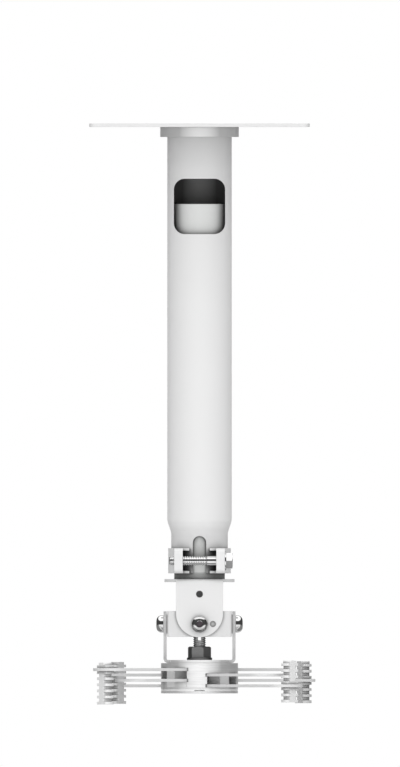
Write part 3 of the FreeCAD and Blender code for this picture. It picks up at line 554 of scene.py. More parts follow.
def crease_group():
    """Painted shade: darkens creases and deep hollows by how closed in they are, as shade falls there."""
    tree, entry, leave = new_group(
        "Crease shade",
        [("Colour", "Color", (0.8, 0.8, 0.8, 1)), ("Reach", "Float", 0.01), ("Depth", "Float", 0.5),
         ("Sharpness", "Float", 1.0)],
        [("Colour", "Color")])
    wires = Wires(tree)
    hollow = wires.add("ShaderNodeAmbientOcclusion", samples=16)
    wires.join(entry.outputs["Reach"], hollow.inputs["Distance"])
    curve = wires.math("POWER", hollow.outputs["AO"], entry.outputs["Sharpness"])
    open_share = wires.math("SUBTRACT", 1.0, entry.outputs["Depth"])
    factor = wires.math("MULTIPLY_ADD", curve, entry.outputs["Depth"], open_share)
    wires.join(tinted(wires, entry.outputs["Colour"], factor), leave.inputs["Colour"])
    return tree


def edge_group():
    """Edges where the finish is rubbed thin."""
    tree, entry, leave = new_group(
        "Rubbed edge",
        [("Colour", "Color", (0.8, 0.8, 0.8, 1)), ("Edge", "Color", (0.9, 0.9, 0.9, 1)),
         ("Amount", "Float", 0.4)],
        [("Colour", "Color")])
    wires = Wires(tree)
    point = wires.add("ShaderNodeNewGeometry").outputs["Pointiness"]
    sharp = rising(wires, point, 0.53, 9.0)
    patchy = wires.math("MULTIPLY_ADD", noise(wires, object_place(wires), 140.0, 3.0), 1.2, 0.2, clamp=True)
    mask = wires.math("MULTIPLY", wires.math("MULTIPLY", sharp, patchy), entry.outputs["Amount"])
    mix = wires.add("ShaderNodeMix", data_type="RGBA")
    wires.join(mask, mix.inputs["Factor"])
    wires.join(entry.outputs["Colour"], mix.inputs[6])
    wires.join(entry.outputs["Edge"], mix.inputs[7])
    wires.join(mix.outputs[2], leave.inputs["Colour"])
    return tree


def grain_group():
    """Fine lines left by turning or brushing, across one stretched axis."""
    tree, entry, leave = new_group(
        "Machined grain",
        [("Colour", "Color", (0.6, 0.6, 0.6, 1)), ("Stretch", "Vector", (60.0, 60.0, 3000.0)),
         ("Contrast", "Float", 0.15), ("Roughness", "Float", 0.35)],
        [("Colour", "Color"), ("Roughness", "Float"), ("Height", "Float")])
    wires = Wires(tree)
    stretch = wires.add("ShaderNodeVectorMath", operation="MULTIPLY")
    wires.join(object_place(wires), stretch.inputs[0])
    wires.join(entry.outputs["Stretch"], stretch.inputs[1])
    line = noise(wires, stretch.outputs[0], 1.0, 3.0, 0.65)
    centred = wires.math("SUBTRACT", line, 0.5)
    factor = wires.math("MULTIPLY_ADD", centred, entry.outputs["Contrast"], 1.0)
    wires.join(tinted(wires, entry.outputs["Colour"], factor), leave.inputs["Colour"])
    rough = wires.math("MULTIPLY_ADD", centred, 0.2, entry.outputs["Roughness"])
    wires.join(rough, leave.inputs["Roughness"])
    wires.join(line, leave.inputs["Height"])
    return tree


POWDER = powder_group()
CREASE = crease_group()
EDGE = edge_group()
GRAIN = grain_group()


def group_node(wires, tree, **values):
    node = wires.add("ShaderNodeGroup", node_tree=tree)
    for label, value in values.items():
        node.inputs[label].default_value = value
    return node


def grey(level):
    return (level, level, level, 1.0)


def brighter(colour, share):
    return tuple(min(1.0, part * share) for part in colour[:3]) + (1.0,)


def new_material(name):
    material = bpy.data.materials.new(name)
    material.use_nodes = True
    wires = Wires(material.node_tree)
    return material, wires, material.node_tree.nodes["Principled BSDF"]


def bumped(wires, shader, height, distance, strength):
    bump = wires.add("ShaderNodeBump")
    bump.inputs["Distance"].default_value = distance
    bump.inputs["Strength"].default_value = strength
    wires.join(height, bump.inputs["Height"])
    wires.join(bump.outputs[0], shader.inputs["Normal"])


def turn_shaded(wires, colour, fall, rate):
    """Painted shade: a colour that loses a share of itself on faces turned away from the eye."""
    facing = wires.add("ShaderNodeLayerWeight").outputs["Facing"]
    turned = wires.math("MULTIPLY", facing, rate, clamp=True)
    return tinted(wires, colour, wires.math("MULTIPLY_ADD", turned, -fall, 1.0))


def height_ramp(wires, stops):
    """A value that changes with height in millimetres, through (height, value) stops."""
    height = wires.add("ShaderNodeSeparateXYZ")
    wires.join(object_place(wires), height.inputs[0])
    value = None
    for (low, start), (high, end) in zip(stops, stops[1:]):
        step = wires.add("ShaderNodeMapRange", clamp=True)
        wires.join(height.outputs["Z"], step.inputs["Value"])
        step.inputs["From Min"].default_value = low / 1000
        step.inputs["From Max"].default_value = high / 1000
        step.inputs["To Min"].default_value = start if value is None else 0.0
        step.inputs["To Max"].default_value = end if value is None else end - start
        value = step.outputs[0] if value is None else wires.math("ADD", value, step.outputs[0])
    return value


def painted(name, colour, reach=0.012, depth=0.5, sharpness=1.0, fall=0.09, rate=2.6, crevice=None,
            stops=None, height_shade=None):
    """A powder-coated finish with painted shade in its creases and on faces turned from the eye; crevice and
    stops add a second, deeper painted shade that changes with height, and a third ramp darkens it by height
    as painted shade.
    """
    material, wires, shader = new_material(name)
    coat = group_node(wires, POWDER, Colour=colour, Cloud=0.03, Roughness=0.5)
    rub = group_node(wires, EDGE, Edge=brighter(colour, 1.12), Amount=0.35)
    shade = group_node(wires, CREASE, Reach=reach, Depth=depth, Sharpness=sharpness)
    wires.join(coat.outputs["Colour"], rub.inputs["Colour"])
    wires.join(rub.outputs["Colour"], shade.inputs["Colour"])
    colour_now = shade.outputs["Colour"]
    if crevice:
        deep = group_node(wires, CREASE, Reach=crevice[0], Sharpness=crevice[1])
        wires.join(colour_now, deep.inputs["Colour"])
        wires.join(height_ramp(wires, stops), deep.inputs["Depth"])
        colour_now = deep.outputs["Colour"]
    if height_shade:
        colour_now = tinted(wires, colour_now, height_ramp(wires, height_shade))
    wires.join(turn_shaded(wires, colour_now, fall, rate), shader.inputs["Base Color"])
    wires.join(coat.outputs["Roughness"], shader.inputs["Roughness"])
    shader.inputs["Specular IOR Level"].default_value = 0.35
    shader.inputs["Metallic"].default_value = 0.12
    bumped(wires, shader, coat.outputs["Height"], 0.00003, 0.35)
    return material


def metal(name, colour, roughness, stretch, contrast=0.15, metallic=1.0, reach=0.006, depth=0.5,
          sharpness=1.0, edge=0.4, bump=0.25, fall=0.0, rate=3.0, height_shade=None):
    """A bare or plated metal with its machined grain; painted shade darkens its creases and, where given, its
    faces turned from the eye and its height ramp.
    """
    material, wires, shader = new_material(name)
    grain = group_node(wires, GRAIN, Colour=colour, Stretch=stretch, Contrast=contrast, Roughness=roughness)
    rub = group_node(wires, EDGE, Edge=brighter(colour, 1.3), Amount=edge)
    shade = group_node(wires, CREASE, Reach=reach, Depth=depth, Sharpness=sharpness)
    wires.join(grain.outputs["Colour"], rub.inputs["Colour"])
    wires.join(rub.outputs["Colour"], shade.inputs["Colour"])
    colour_now = shade.outputs["Colour"]
    if height_shade:
        colour_now = tinted(wires, colour_now, height_ramp(wires, height_shade))
    if fall:
        colour_now = turn_shaded(wires, colour_now, fall, rate)
    wires.join(colour_now, shader.inputs["Base Color"])
    wires.join(grain.outputs["Roughness"], shader.inputs["Roughness"])
    shader.inputs["Metallic"].default_value = metallic
    bumped(wires, shader, grain.outputs["Height"], 0.00002, bump)
    return material


def plain_plastic(name, colour, roughness):
    material, wires, shader = new_material(name)
    coat = group_node(wires, POWDER, Colour=colour, Cloud=0.06, Roughness=roughness)
    wires.join(coat.outputs["Colour"], shader.inputs["Base Color"])
    wires.join(coat.outputs["Roughness"], shader.inputs["Roughness"])
    bumped(wires, shader, coat.outputs["Height"], 0.00002, 0.2)
    return material


# Every coat below darkens its creases with painted shade, and its faces turned from the eye unless its fall
# is 0.
WHITE_PAINT = painted("white powder coat", grey(0.84))
# Painted shade: darker under the ceiling plate and from the taper down, and deep on the neck inside and just
# over the clamp.
SHADED_PAINT = painted("white coat with painted shade under the ceiling", grey(0.87), reach=0.15, depth=0.22, fall=0.0,
                       crevice=(0.0085, 2.6), stops=[(-357, 1.0), (-354.5, 0.40), (-342, 0.0)],
                       height_shade=[(-345.5, 0.86), (-336, 1.0), (-40, 1.0), (-12, 0.86)])
# Painted shade: the collar ring darkens strongly towards the sides turned from the eye.
RING_PAINT = painted("collar ring coat", grey(0.95), reach=0.003, depth=0.2, fall=0.40, rate=7.0)
# Painted shade on the inner tube: deep below the clamp, in the neck's slot and in the cable window, most at
# its foot.
TUBE_PAINT = painted("inner tube coat", (0.80, 0.81, 0.80, 1.0), reach=0.002, depth=0.6, crevice=(0.02, 1.6),
                     stops=[(-377, 0.85), (-375, 0.1), (-370, 0.1), (-362, 0.8), (-340, 0.8), (-330, 0.1),
                            (-140, 0.1), (-95, 0.8), (-86, 0.45), (-70, 0.4)])
CLAMP_PAINT = painted("clamp coat", grey(0.86), reach=0.004)
# Painted shade: the inner faces of the yoke darken strongly by how closed in they are.
YOKE_INSIDE_SHADE = painted("yoke coat with painted shade inside", grey(0.84), reach=0.06, depth=0.9, sharpness=1.6)
# Painted shade: the cross frame darkens strongly close to the faces that hem it in.
FRAME_PAINT = painted("cross frame coat", grey(0.78), reach=0.0026, depth=0.85)
# Painted shade: the legs darken towards their foot by the hub.
BRACKET_PAINT = painted("bracket coat", grey(0.84), reach=0.006, depth=0.3,
                        height_shade=[(-452, 0.84), (-449.5, 0.80), (-448, 0.66), (-432, 0.80), (-408, 0.84)])
ARM_PAINT = painted("arm coat", grey(0.80), reach=0.01)

# Stretches of the grain: turned along Z, polished along Y, rolled, and cast without a direction.
TURNED = (30.0, 30.0, 500.0)
POLISHED = (900.0, 60.0, 900.0)
ROLLED = (400.0, 400.0, 1200.0)
CAST = (300.0, 300.0, 300.0)

# Painted shade: the outer tube's bore is dark and darker still on faces turned from the eye, standing in for
# the shade inside the tube.
BORE_SHADE = metal("tube bore dark with painted shade", grey(0.27), 0.6, (60.0, 60.0, 800.0), metallic=0.3, reach=0.02,
                    depth=0.6, fall=0.68, rate=5.5)
# Painted shade: the hub darkens on faces turned from the eye and in its creases.
HUB_ALLOY = metal("turned hub alloy", grey(0.95), 0.40, TURNED, 0.5, metallic=0.15, reach=0.003, depth=0.6,
                  fall=0.50, rate=5.5)
# Painted light: the pocket walls are a lighter copy of the hub alloy, with no crease shade and less shade on
# turned faces; they still darken a little on faces turned from the eye.
HUB_INSIDE = metal("milled hub pocket", grey(0.88), 0.5, TURNED, 0.3, metallic=0.05, reach=0.003, depth=0.0,
                   fall=0.22, rate=5.5)
# Painted shade: the cover darkens on faces turned from the eye and in its creases.
COVER_ALLOY = metal("turned cover alloy", grey(0.93), 0.40, TURNED, 0.5, metallic=0.30, reach=0.002,
                    depth=0.3, fall=0.26, rate=5.5)
# Painted highlight: the cover's stepped stripe is a brighter copy of the cover alloy with little shade.
STRIPE_HIGHLIGHT = metal("turned step with painted highlight", grey(0.98), 0.40, TURNED, 0.2, metallic=0.0, reach=0.002, depth=0.0,
                     fall=0.10, rate=5.5)
# The disc's bare turned edge, light and without crease shade so as to paint light over the shadow beneath it;
# painted shade darkens its turned sides.
DISC_ALLOY = metal("blanked disc edge", grey(0.98), 0.45, TURNED, 0.3, metallic=0.0, reach=0.002, depth=0.0,
                   fall=0.42, rate=3.6)
# Painted shade: deep in the posts' grooves and on faces turned from the eye.
POST_ALLOY = metal("cast post alloy", grey(0.92), 0.42, CAST, 0.08, metallic=0.10, reach=0.0035, depth=0.95,
                   sharpness=1.5, fall=0.10)
# Painted shade: a darker copy of the post alloy for the two back posts.
BACK_POST_SHADE = metal("cast post alloy with painted shade", grey(0.70), 0.42, CAST, 0.08, metallic=0.10,
                        reach=0.0035, depth=0.95, sharpness=1.5, fall=0.15)
BRIGHT_STEEL = metal("bright plating", grey(0.84), 0.07, POLISHED, 0.06, bump=0.05, depth=0.3, edge=0.1)
# Painted shade: the front heads darken on their lower part and on faces turned from the eye.
HEAD_STEEL = metal("bright plating of the front heads with painted shade below", grey(0.84), 0.10, POLISHED, 0.06, bump=0.05,
                   depth=0.3, edge=0.1, fall=0.28, rate=4.0, height_shade=[(-423, 0.60), (-421, 1.0)])
# Painted shade deep in the roots of the clamp bolt's thread.
PLATED_THREAD = metal("bright rolled thread", grey(0.94), 0.05, POLISHED, 0.06, bump=0.05, reach=0.0008,
                      depth=0.9, sharpness=1.3, edge=0.1)
# Painted shade: the sockets in the button heads are a dark colour.
SOCKET_SHADE = metal("head socket", (0.17, 0.14, 0.16, 1.0), 0.4, ROLLED, 0.25, metallic=0.25, depth=0.3,
                     edge=0.2)
# Dark zinc, with painted shade on faces turned from the eye.
DARK_STEEL = metal("dark zinc", grey(0.30), 0.36, ROLLED, 0.25, metallic=0.25, depth=0.3, edge=0.2,
                   fall=0.70, rate=2.4)
# Painted shade: the centre bolt's thread darkens steeply on faces turned from the eye and in its roots.
ROLLED_STEEL = metal("rolled thread", grey(0.92), 0.36, ROLLED, 0.25, metallic=0.15, reach=0.0008, depth=0.5,
                     edge=0.2, fall=0.88, rate=2.2)
NYLON = plain_plastic("natural nylon", (0.72, 0.72, 0.68, 1.0), 0.5)

FINISH = {
    "white_paint": WHITE_PAINT, "tube_paint": TUBE_PAINT, "arm_paint": ARM_PAINT, "hub_alloy": HUB_ALLOY,
    "post_alloy": POST_ALLOY, "bright_steel": BRIGHT_STEEL, "dark_steel": DARK_STEEL, "nylon": NYLON,
}


# The pieces of the mount


def add_piece(name, mesh, nodes, slot, edge, material=None, inside=None):
    """Finishes a mesh in millimetres as the piece that stands for some CAD nodes.

    inside holds a second material and the test that picks the faces it covers.
    """
    if edge:
        mesh = softened_edges(mesh, edge)
    mesh.transform(Matrix.Scale(0.001, 4))
    mesh.materials.clear()
    mesh.materials.append(material or FINISH[slot])
    if inside:
        second, test = inside
        mesh.materials.append(second)
        for face in mesh.polygons:
            face.material_index = 1 if test(face.center * 1000, face.normal) else 0
    mesh.shade_smooth()
    mesh.set_sharp_from_angle(angle=math.radians(34))
    mesh = flat_shaded(mesh)
    mesh.name = name
    obj = bpy.data.objects.new(name, mesh)
    bpy.context.scene.collection.objects.link(obj)
    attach(obj, BODY_OF[nodes[0]])
    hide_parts(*nodes)
    return obj


def ring_outline(inner, outer, low, high, edge):
    corners = [(inner, low, edge), (outer, low, edge), (outer, high, edge), (inner, high, edge)]
    return softened(corners)


def make_ceiling_plate():
    outline = rounded_box(-PLATE_HALF, PLATE_HALF, -PLATE_HALF, PLATE_HALF, 5.0)
    tools = [rod(CABLE_HOLE, -FAR, FAR, steps=72)]
    for across in (-SCREW_PLACE, SCREW_PLACE):
        for depth in (-SCREW_PLACE, SCREW_PLACE):
            tools.append(rod(SCREW_HOLE, -FAR, FAR, "Z", across, depth, 40))
    plate = carved(prism(outline, PLATE_UNDER, 0.0), "DIFFERENCE", *tools)
    add_piece("ceiling_plate_skin", plate, ["ceiling_plate"], "white_paint", 0.4)


def make_collar_ring():
    inner, outer = TUBE + 0.1, 32.9
    top = PLATE_UNDER - HAIR
    under = PLATE_UNDER - 8.4
    corners = [(inner, under, 0.1), (outer, under, 0.35), (outer, top, 0.25), (inner, top, 0.1)]
    add_piece("collar_ring_skin", lathe(softened(corners), 192), ["collar_ring"], "white_paint", 0,
              material=RING_PAINT)


def make_outer_tube():
    """A tube swaged to a neck, with a cable window above and a slot for the clamp to close."""
    top = PLATE_UNDER - HAIR
    neck_bore = INNER + 0.1
    taper_low = NECK_END + NECK_HEIGHT
    taper_high = taper_low + TAPER_HEIGHT
    corners = [(TUBE, top, 0.2), (TUBE_BORE, top, 0.2), (TUBE_BORE, taper_high, 6.0),
               (neck_bore, taper_low, 6.0), (neck_bore, NECK_END, 0.3), (NECK, NECK_END, 0.5),
               (NECK, taper_low, 12.0), (TUBE, taper_high, 12.0)]
    tube = lathe(softened(corners, 8), 256)
    window = rounded_box(-WINDOW_HALF, WINDOW_HALF, WINDOW_FOOT, WINDOW_TOP, 9.1, 16)
    half, below = 5.5, NECK_END - 5.0
    slot = arc(0, SLOT_CROWN, half, 0, 180, 24) + [(-half, below), (half, below)]
    mesh = carved(tube, "DIFFERENCE", prism(window, -FAR, 0.0, "Y"), prism(slot, -FAR, 0.0, "Y"))

    def in_bore(centre, normal):
        inwards = centre.x * normal.x + centre.y * normal.y < 0
        return math.hypot(centre.x, centre.y) < TUBE_BORE + 0.3 and inwards and abs(normal.z) < 0.9

    # The bore's faces take the dark colour that paints the shade inside the tube.
    add_piece("outer_tube_skin", mesh, ["outer_tube"], "white_paint", 0.3, material=SHADED_PAINT,
              inside=(BORE_SHADE, in_bore))


def make_clamp_collar():
    """A split band whose two ears are milled hollow in front."""
    low, high = NECK_END, NECK_END + 21.1
    ear = rounded_box(-38.0, -5.0, low, high, 4.0)
    ears = [prism(ear, start, start + 7.45, "X") for start in (-EAR_FACE, 13.8)]
    solid = carved(rod(26.25, low, high, steps=ROUND), "UNION", *ears)
    tools = [
        rod(23.8, low - 5, high + 5, steps=ROUND),
        prism(box_outline(-8.5, 8.5, low - 5, high + 5), -FAR, 0.0, "Y"),
        prism(box_outline(-14.05, 14.0, low + 2.1, high - 2.1), -FAR, 0.0, "Y"),
        rod(SMALL_HOLE, -FAR, FAR, "X", CLAMP_DEPTH, CLAMP_AXIS),
    ]
    add_piece("clamp_collar_skin", carved(solid, "DIFFERENCE", *tools), ["clamp_collar"], "white_paint", 0.35,
              material=CLAMP_PAINT)


def hex_block(flats, low, high, turn=0.0):
    """A hexagon with its corners turned off at the top."""
    corner = flats / 2 / math.cos(math.pi / 6)
    drop = (corner - flats / 2) * math.tan(math.pi / 6)
    outline = [(0, low), (corner, low), (corner, high - drop), (flats / 2 - 0.1, high), (0, high)]
    return carved(prism(hexagon(flats, turn), low, high), "INTERSECT", lathe(outline, 96))


def threaded(radius, pitch, depth, length, chamfer=0.8):
    """A threaded rod that stands on height 0."""
    along = int(length / pitch * 10) + 3
    return grown(None, THREAD, Radius=radius, Pitch=pitch, Depth=depth, Length=length, Around=65,
                 Along=along, Chamfer=chamfer)


def on_clamp_axis(mesh, across):
    """Lays a shape from the Z axis along the clamp bolt's axis."""
    moved(mesh, turn=90.0, axis="Y")
    return moved(mesh, across=across, depth=CLAMP_DEPTH, height=CLAMP_AXIS)


def make_clamp_bolt():
    grip, length = 16.1, 31.7
    washer_sheet = 1.1
    head = softened_edges(hex_block(SMALL_NUT, 0.0, 5.4, turn=30.0), 0.2)
    shank = [(0, -grip, 0), (SMALL_BOLT, -grip, 0.3), (SMALL_BOLT, 0.1, 0), (0, 0.1, 0)]
    thread = moved(threaded(SMALL_BOLT, SMALL_PITCH, 0.6, length), height=0.1 - grip - length)
    bolt = on_clamp_axis(merged(head, lathe(softened(shank), 64), thread), EAR_FACE + washer_sheet)

    def on_thread(centre, normal):
        radius = math.hypot(centre.y - CLAMP_DEPTH, centre.z - CLAMP_AXIS)
        return centre.x < 6.2 and radius < SMALL_BOLT + 0.1

    add_piece("clamp_bolt_skin", bolt, ["clamp_bolt"], "bright_steel", 0, inside=(PLATED_THREAD, on_thread))
    washer = lathe(ring_outline(SMALL_HOLE, SMALL_WASHER, 0.0, washer_sheet, 0.2), 64)
    add_piece("clamp_washer_skin", on_clamp_axis(washer, EAR_FACE), ["clamp_washer"], "bright_steel", 0)


def make_inner_tube():
    """A tube with a rolled dent round it, which the guide bush grips."""
    foot, top = YOKE_TOP + HAIR, YOKE_TOP + INNER_LENGTH
    middle = (BUSH_TOP + BUSH_FOOT) / 2
    corners = [(INNER_BORE, foot, 0.2), (INNER, foot, 0.2), (INNER, middle - 2.0, 0.3),
               (INNER - DENT, middle - 1.2, 0.3), (INNER - DENT, middle + 1.2, 0.3),
               (INNER, middle + 2.0, 0.3), (INNER, top, 0.6), (INNER_BORE, top, 0.6)]
    add_piece("inner_tube_skin", lathe(softened(corners, 4), 192), ["inner_tube"], "tube_paint", 0)


def make_guide_bush():
    """A slit bush with a rib that runs in the inner tube's dent."""
    middle = (BUSH_TOP + BUSH_FOOT) / 2
    inner, outer = INNER + 0.05, 24.6
    corners = [(outer, BUSH_FOOT, 0.6), (outer, BUSH_TOP, 0.6), (inner, BUSH_TOP, 0.3),
               (inner, middle + 1.95, 0.1), (inner - DENT, middle + 1.15, 0.1),
               (inner - DENT, middle - 1.15, 0.1), (inner, middle - 1.95, 0.1), (inner, BUSH_FOOT, 0.3)]
    slit = prism(box_outline(-1.5, 1.5, BUSH_FOOT - 5, BUSH_TOP + 5), 0.0, FAR, "Y")
    bush = carved(lathe(softened(corners), 160), "DIFFERENCE", slit)
    add_piece("guide_bush_skin", bush, ["guide_bush"], "nylon", 0)


def folded(face, tips, outer_base, inner_base, bend, axis):
    """A sheet folded to a U with rounded bends, as a straight prism along an axis.

    face is half the width outside, tips the height of the legs' ends, and the two bases the sheet's sides.
    """
    thick = abs(outer_base - inner_base)
    inside = face - thick
    corners = [(-face, tips, 0), (-face, outer_base, bend), (face, outer_base, bend), (face, tips, 0),
               (inside, tips, 0), (inside, inner_base, bend - thick), (-inside, inner_base, bend - thick),
               (-inside, tips, 0)]
    return prism(softened(corners, 8), -FAR, FAR, axis)


def make_upper_yoke():
    under = YOKE_TOP - YOKE_SHEET
    foot = PIVOT - 11.1
    sheet = folded(YOKE_FACE, foot, YOKE_TOP, under, 4.0, "X")
    half = 19.7
    centre = foot + half
    shoulder = under - 0.5
    above = YOKE_TOP + 1
    front = [(-FAR, above), (-FAR, shoulder), (-half, shoulder), (-half, centre)]
    front += arc(0, centre, half, 180, 360, 48)[1:-1]
    front += [(half, centre), (half, shoulder), (FAR, shoulder), (FAR, above)]
    strip = prism(box_outline(-half, half, -FAR, FAR), foot - 1, above)
    plan = carved(rod(29.35, foot - 1, above, steps=ROUND), "UNION", strip)
    solid = carved(carved(sheet, "INTERSECT", prism(front, -FAR, FAR, "Y")), "INTERSECT", plan)
    tools = [
        rod(CABLE_HOLE, under - 5, YOKE_TOP + 5, steps=72),
        rod(SMALL_HOLE, -FAR, FAR, "Y", 0, PIVOT),
        rod(2.85, -FAR, 0.0, "Y", 0, YOKE_TOP - 12.6, 40),
        rod(2.5, -FAR, 0.0, "Y", 11.2, PIVOT, 40),
    ]

    def inward(centre, normal):
        on_leg = centre.y * normal.y < -1.0 and abs(centre.y) > YOKE_FACE - YOKE_SHEET - 1
        return on_leg or normal.z < -0.9 and centre.z > under - 1

    # The yoke's inner faces take the coat with painted shade.
    add_piece("upper_yoke_skin", carved(solid, "DIFFERENCE", *tools), ["upper_yoke"], "white_paint", 0.3,
              inside=(YOKE_INSIDE_SHADE, inward))


def make_cross_frame():
    low, high = PIVOT - 10.8, PIVOT + 10.8
    inside = FRAME_HALF - 3.0
    block = prism(rounded_box(-FRAME_HALF, FRAME_HALF, -FRAME_HALF, FRAME_HALF, 2.2), low, high)
    tools = [
        prism(rounded_box(-inside, inside, -inside, inside, 0.6, 3), low - 5, high + 5),
        rod(SMALL_HOLE, -FAR, FAR, "Y", 0, PIVOT),
        rod(SMALL_HOLE, -FAR, FAR, "X", 0, PIVOT),
    ]
    add_piece("cross_frame_skin", carved(block, "DIFFERENCE", *tools), ["cross_frame"], "white_paint", 0.3,
              material=FRAME_PAINT)


def button_bolt(grip):
    """A button head bolt with its seat at height 0 and its head up."""
    past = 11.0
    head = [(0, 0, 0), (7.3, 0, 0.25), (7.3, BUTTON_HEAD, 4.4), (0, BUTTON_HEAD, 0)]
    socket = prism(hexagon(SOCKET), BUTTON_HEAD - 3.4, 10.0)
    dome = softened_edges(carved(lathe(softened(head, 10), 96), "DIFFERENCE", socket), 0.15, 60.0)
    shank = SMALL_BOLT - HAIR
    neck = lathe([(0, -grip), (shank, -grip), (shank, 0.1), (0, 0.1)], 64)
    thread = moved(threaded(SMALL_BOLT - 0.03, 1.25, 0.72, past), height=-grip - past)
    return merged(dome, neck, thread)


def bored(nut, radius, low, high, segments):
    """A nut with a plain bore along the Z axis."""
    return carved(nut, "DIFFERENCE", lathe([(0, low), (radius, low), (radius, high), (0, high)], segments))


def set_round(mesh, distance, start, material):
    """A shape standing on the Z axis, laid to face outwards twice round the pivot axis."""
    moved(mesh, turn=90.0, axis="Y")
    moved(mesh, across=distance, height=PIVOT)
    return grown(mesh, RING, Count=2, Start=math.radians(start), Material=material)


def in_socket_of(along, seat):
    """The test for the faces of the head sockets on one pivot axis, 0 for X and 1 for Y."""
    def in_socket(centre, normal):
        radius = math.hypot(centre[1 - along], centre.z - PIVOT)
        return radius < 2.95 and seat + 2.0 < abs(centre[along]) < seat + 6.0
    return in_socket


def make_pivot(kind, sides, along, face, sheet, finish):
    """The two bolts of one pivot axis with their nuts and washers."""
    start = 90.0 * along

    def nodes(piece):
        return ["%s_%s_%s" % (kind, piece, side) for side in sides]

    bolts = set_round(button_bolt(sheet + 3.5), face + HAIR, start, BRIGHT_STEEL)
    # The head sockets take a dark colour as painted shade.
    add_piece(kind + "_bolts", bolts, nodes("bolt"), "bright_steel", 0, material=finish,
              inside=(SOCKET_SHADE, in_socket_of(along, face)))
    nut = softened_edges(bored(hex_block(SMALL_NUT, 0.0, 6.5), SMALL_HOLE, -1, 7.5, 48), 0.2)
    nuts = set_round(nut, FRAME_HALF - 9.5, start, BRIGHT_STEEL)
    add_piece(kind + "_nuts", nuts, nodes("nut"), "bright_steel", 0)
    washer = lathe(ring_outline(SMALL_HOLE, SMALL_WASHER, 0.0, 0.5, 0.1), 64)
    washers = set_round(washer, FRAME_HALF, start, NYLON)
    add_piece(kind + "_washers", washers, nodes("washer"), "nylon", 0)


def make_lower_bracket():
    top = PIVOT + 10.6
    sheet = folded(LEG_FACE, top + 2, HUB_TOP, BASE_TOP, 3.8, "Y")
    half = 10.6
    below, above = HUB_TOP - 1, BASE_TOP + 0.5
    side = [(-FAR, below), (FAR, below), (FAR, above), (half, above), (half, PIVOT)]
    side += arc(0, PIVOT, half, 0, 180, 40)[1:-1]
    side += [(-half, PIVOT), (-half, above), (-FAR, above)]
    strip = prism(box_outline(-FAR, FAR, -half, half), below, top + 1)
    plan = carved(rod(26.35, below, top + 1, steps=ROUND), "UNION", strip)
    solid = carved(carved(sheet, "INTERSECT", prism(side, -FAR, FAR, "X")), "INTERSECT", plan)
    tools = [
        rod(BIG_HOLE, HUB_TOP - 5, BASE_TOP + 5, steps=56),
        rod(SMALL_HOLE, -FAR, FAR, "X", 0, PIVOT),
    ]

    def on_disc(centre, normal):
        radius = math.hypot(centre.x, centre.y)
        return 25.9 < radius < 26.6 and centre.z < BASE_TOP and abs(centre.y) > half

    add_piece("lower_bracket_skin", carved(solid, "DIFFERENCE", *tools), ["lower_bracket"], "white_paint",
              0.12, material=BRACKET_PAINT, inside=(DISC_ALLOY, on_disc))


def make_centre_bolt():
    top, first, shank_top = PIVOT - 9.6, -445.37, -446.0
    shank = BIG_BOLT - HAIR
    seat = HUB_UNDER + BIG_HEAD_DEPTH
    outline = [(0, HUB_UNDER, 0), (9.0, HUB_UNDER, 0.4), (9.0, seat, 0.3), (shank, seat, 0),
               (shank, shank_top, 0), (0, shank_top, 0)]
    head = lathe(softened(outline), 80)
    thread = moved(threaded(BIG_BOLT + 0.25, BIG_PITCH, 0.65, top - first, 1.0), height=first)
    notch = prism(box_outline(-1.25, 1.25, top - 4.0, top + 2), -FAR, FAR, "Y")
    bolt = merged(head, carved(thread, "DIFFERENCE", notch))
    add_piece("hub_bolt_skin", bolt, ["hub_bolt"], "dark_steel", 0, material=ROLLED_STEEL)
    under = BASE_TOP + 2.0
    washer = lathe(ring_outline(BIG_HOLE, 10.6, BASE_TOP, under, 0.3), 80)
    add_piece("hub_washer_skin", washer, ["hub_washer"], "dark_steel", 0)
    nut = hex_block(BIG_NUT, under, under + 9.2, turn=-10.5)
    nut = bored(nut, BIG_HOLE, under - 2, under + 12, 56)
    add_piece("hub_nut_skin", nut, ["hub_nut"], "dark_steel", 0.25)


def hub_bar(along_x, start, end, half):
    outline = box_outline(start, end, -half, half)
    return outline if along_x else [(up, across) for across, up in outline]


def arm_level(step):
    """The middle of an arm's thickness, by its place in the stack."""
    return HUB_TOP - 5.4 - LEVEL_PITCH * step


def in_pocket(centre, normal):
    """Pocket walls and the keys' ends, but not the reliefs beside the arms."""
    if abs(normal.z) > 0.5 or math.hypot(centre.x, centre.y) > HUB - 0.3:
        return False
    angle = math.radians(HUB_TURN)
    along = abs(centre.x * math.cos(angle) + centre.y * math.sin(angle))
    across = abs(centre.y * math.cos(angle) - centre.x * math.sin(angle))
    return abs(along - HUB_RELIEF) > 0.3 and abs(across - HUB_RELIEF) > 0.3


def make_hub_body():
    """A round block crossed by two passages, with a relief at each arm and a key at each mouth."""
    rim = math.sqrt(HUB * HUB - HUB_KEY * HUB_KEY)
    body = prism(circle(0, 0, HUB, 192), COVER_TOP, HUB_TOP)
    for step, along_x in ((0, True), (1, False)):
        ceiling = arm_level(step) + LEVEL_HALF
        cuts = [prism(hub_bar(along_x, -FAR, FAR, HUB_PASSAGE), COVER_TOP - 5, ceiling)]
        for level in (step, step + 2):
            middle = arm_level(level)
            relief = hub_bar(along_x, -FAR, FAR, HUB_RELIEF)
            cuts.append(prism(relief, middle - LEVEL_HALF, middle + LEVEL_HALF))
        body = carved(body, "DIFFERENCE", *cuts)
        keys = [prism(hub_bar(along_x, start, end, HUB_KEY), COVER_TOP, ceiling + 0.01)
                for start, end in ((HUB_RELIEF, rim), (-rim, -HUB_RELIEF))]
        body = carved(body, "UNION", *keys)
    body = carved(body, "DIFFERENCE", rod(BIG_HOLE, COVER_TOP - 5, HUB_TOP + 5, steps=56))
    add_piece("hub_body_skin", moved(body, turn=HUB_TURN), ["hub_body"], "hub_alloy", 0.1,
              inside=(HUB_INSIDE, in_pocket))


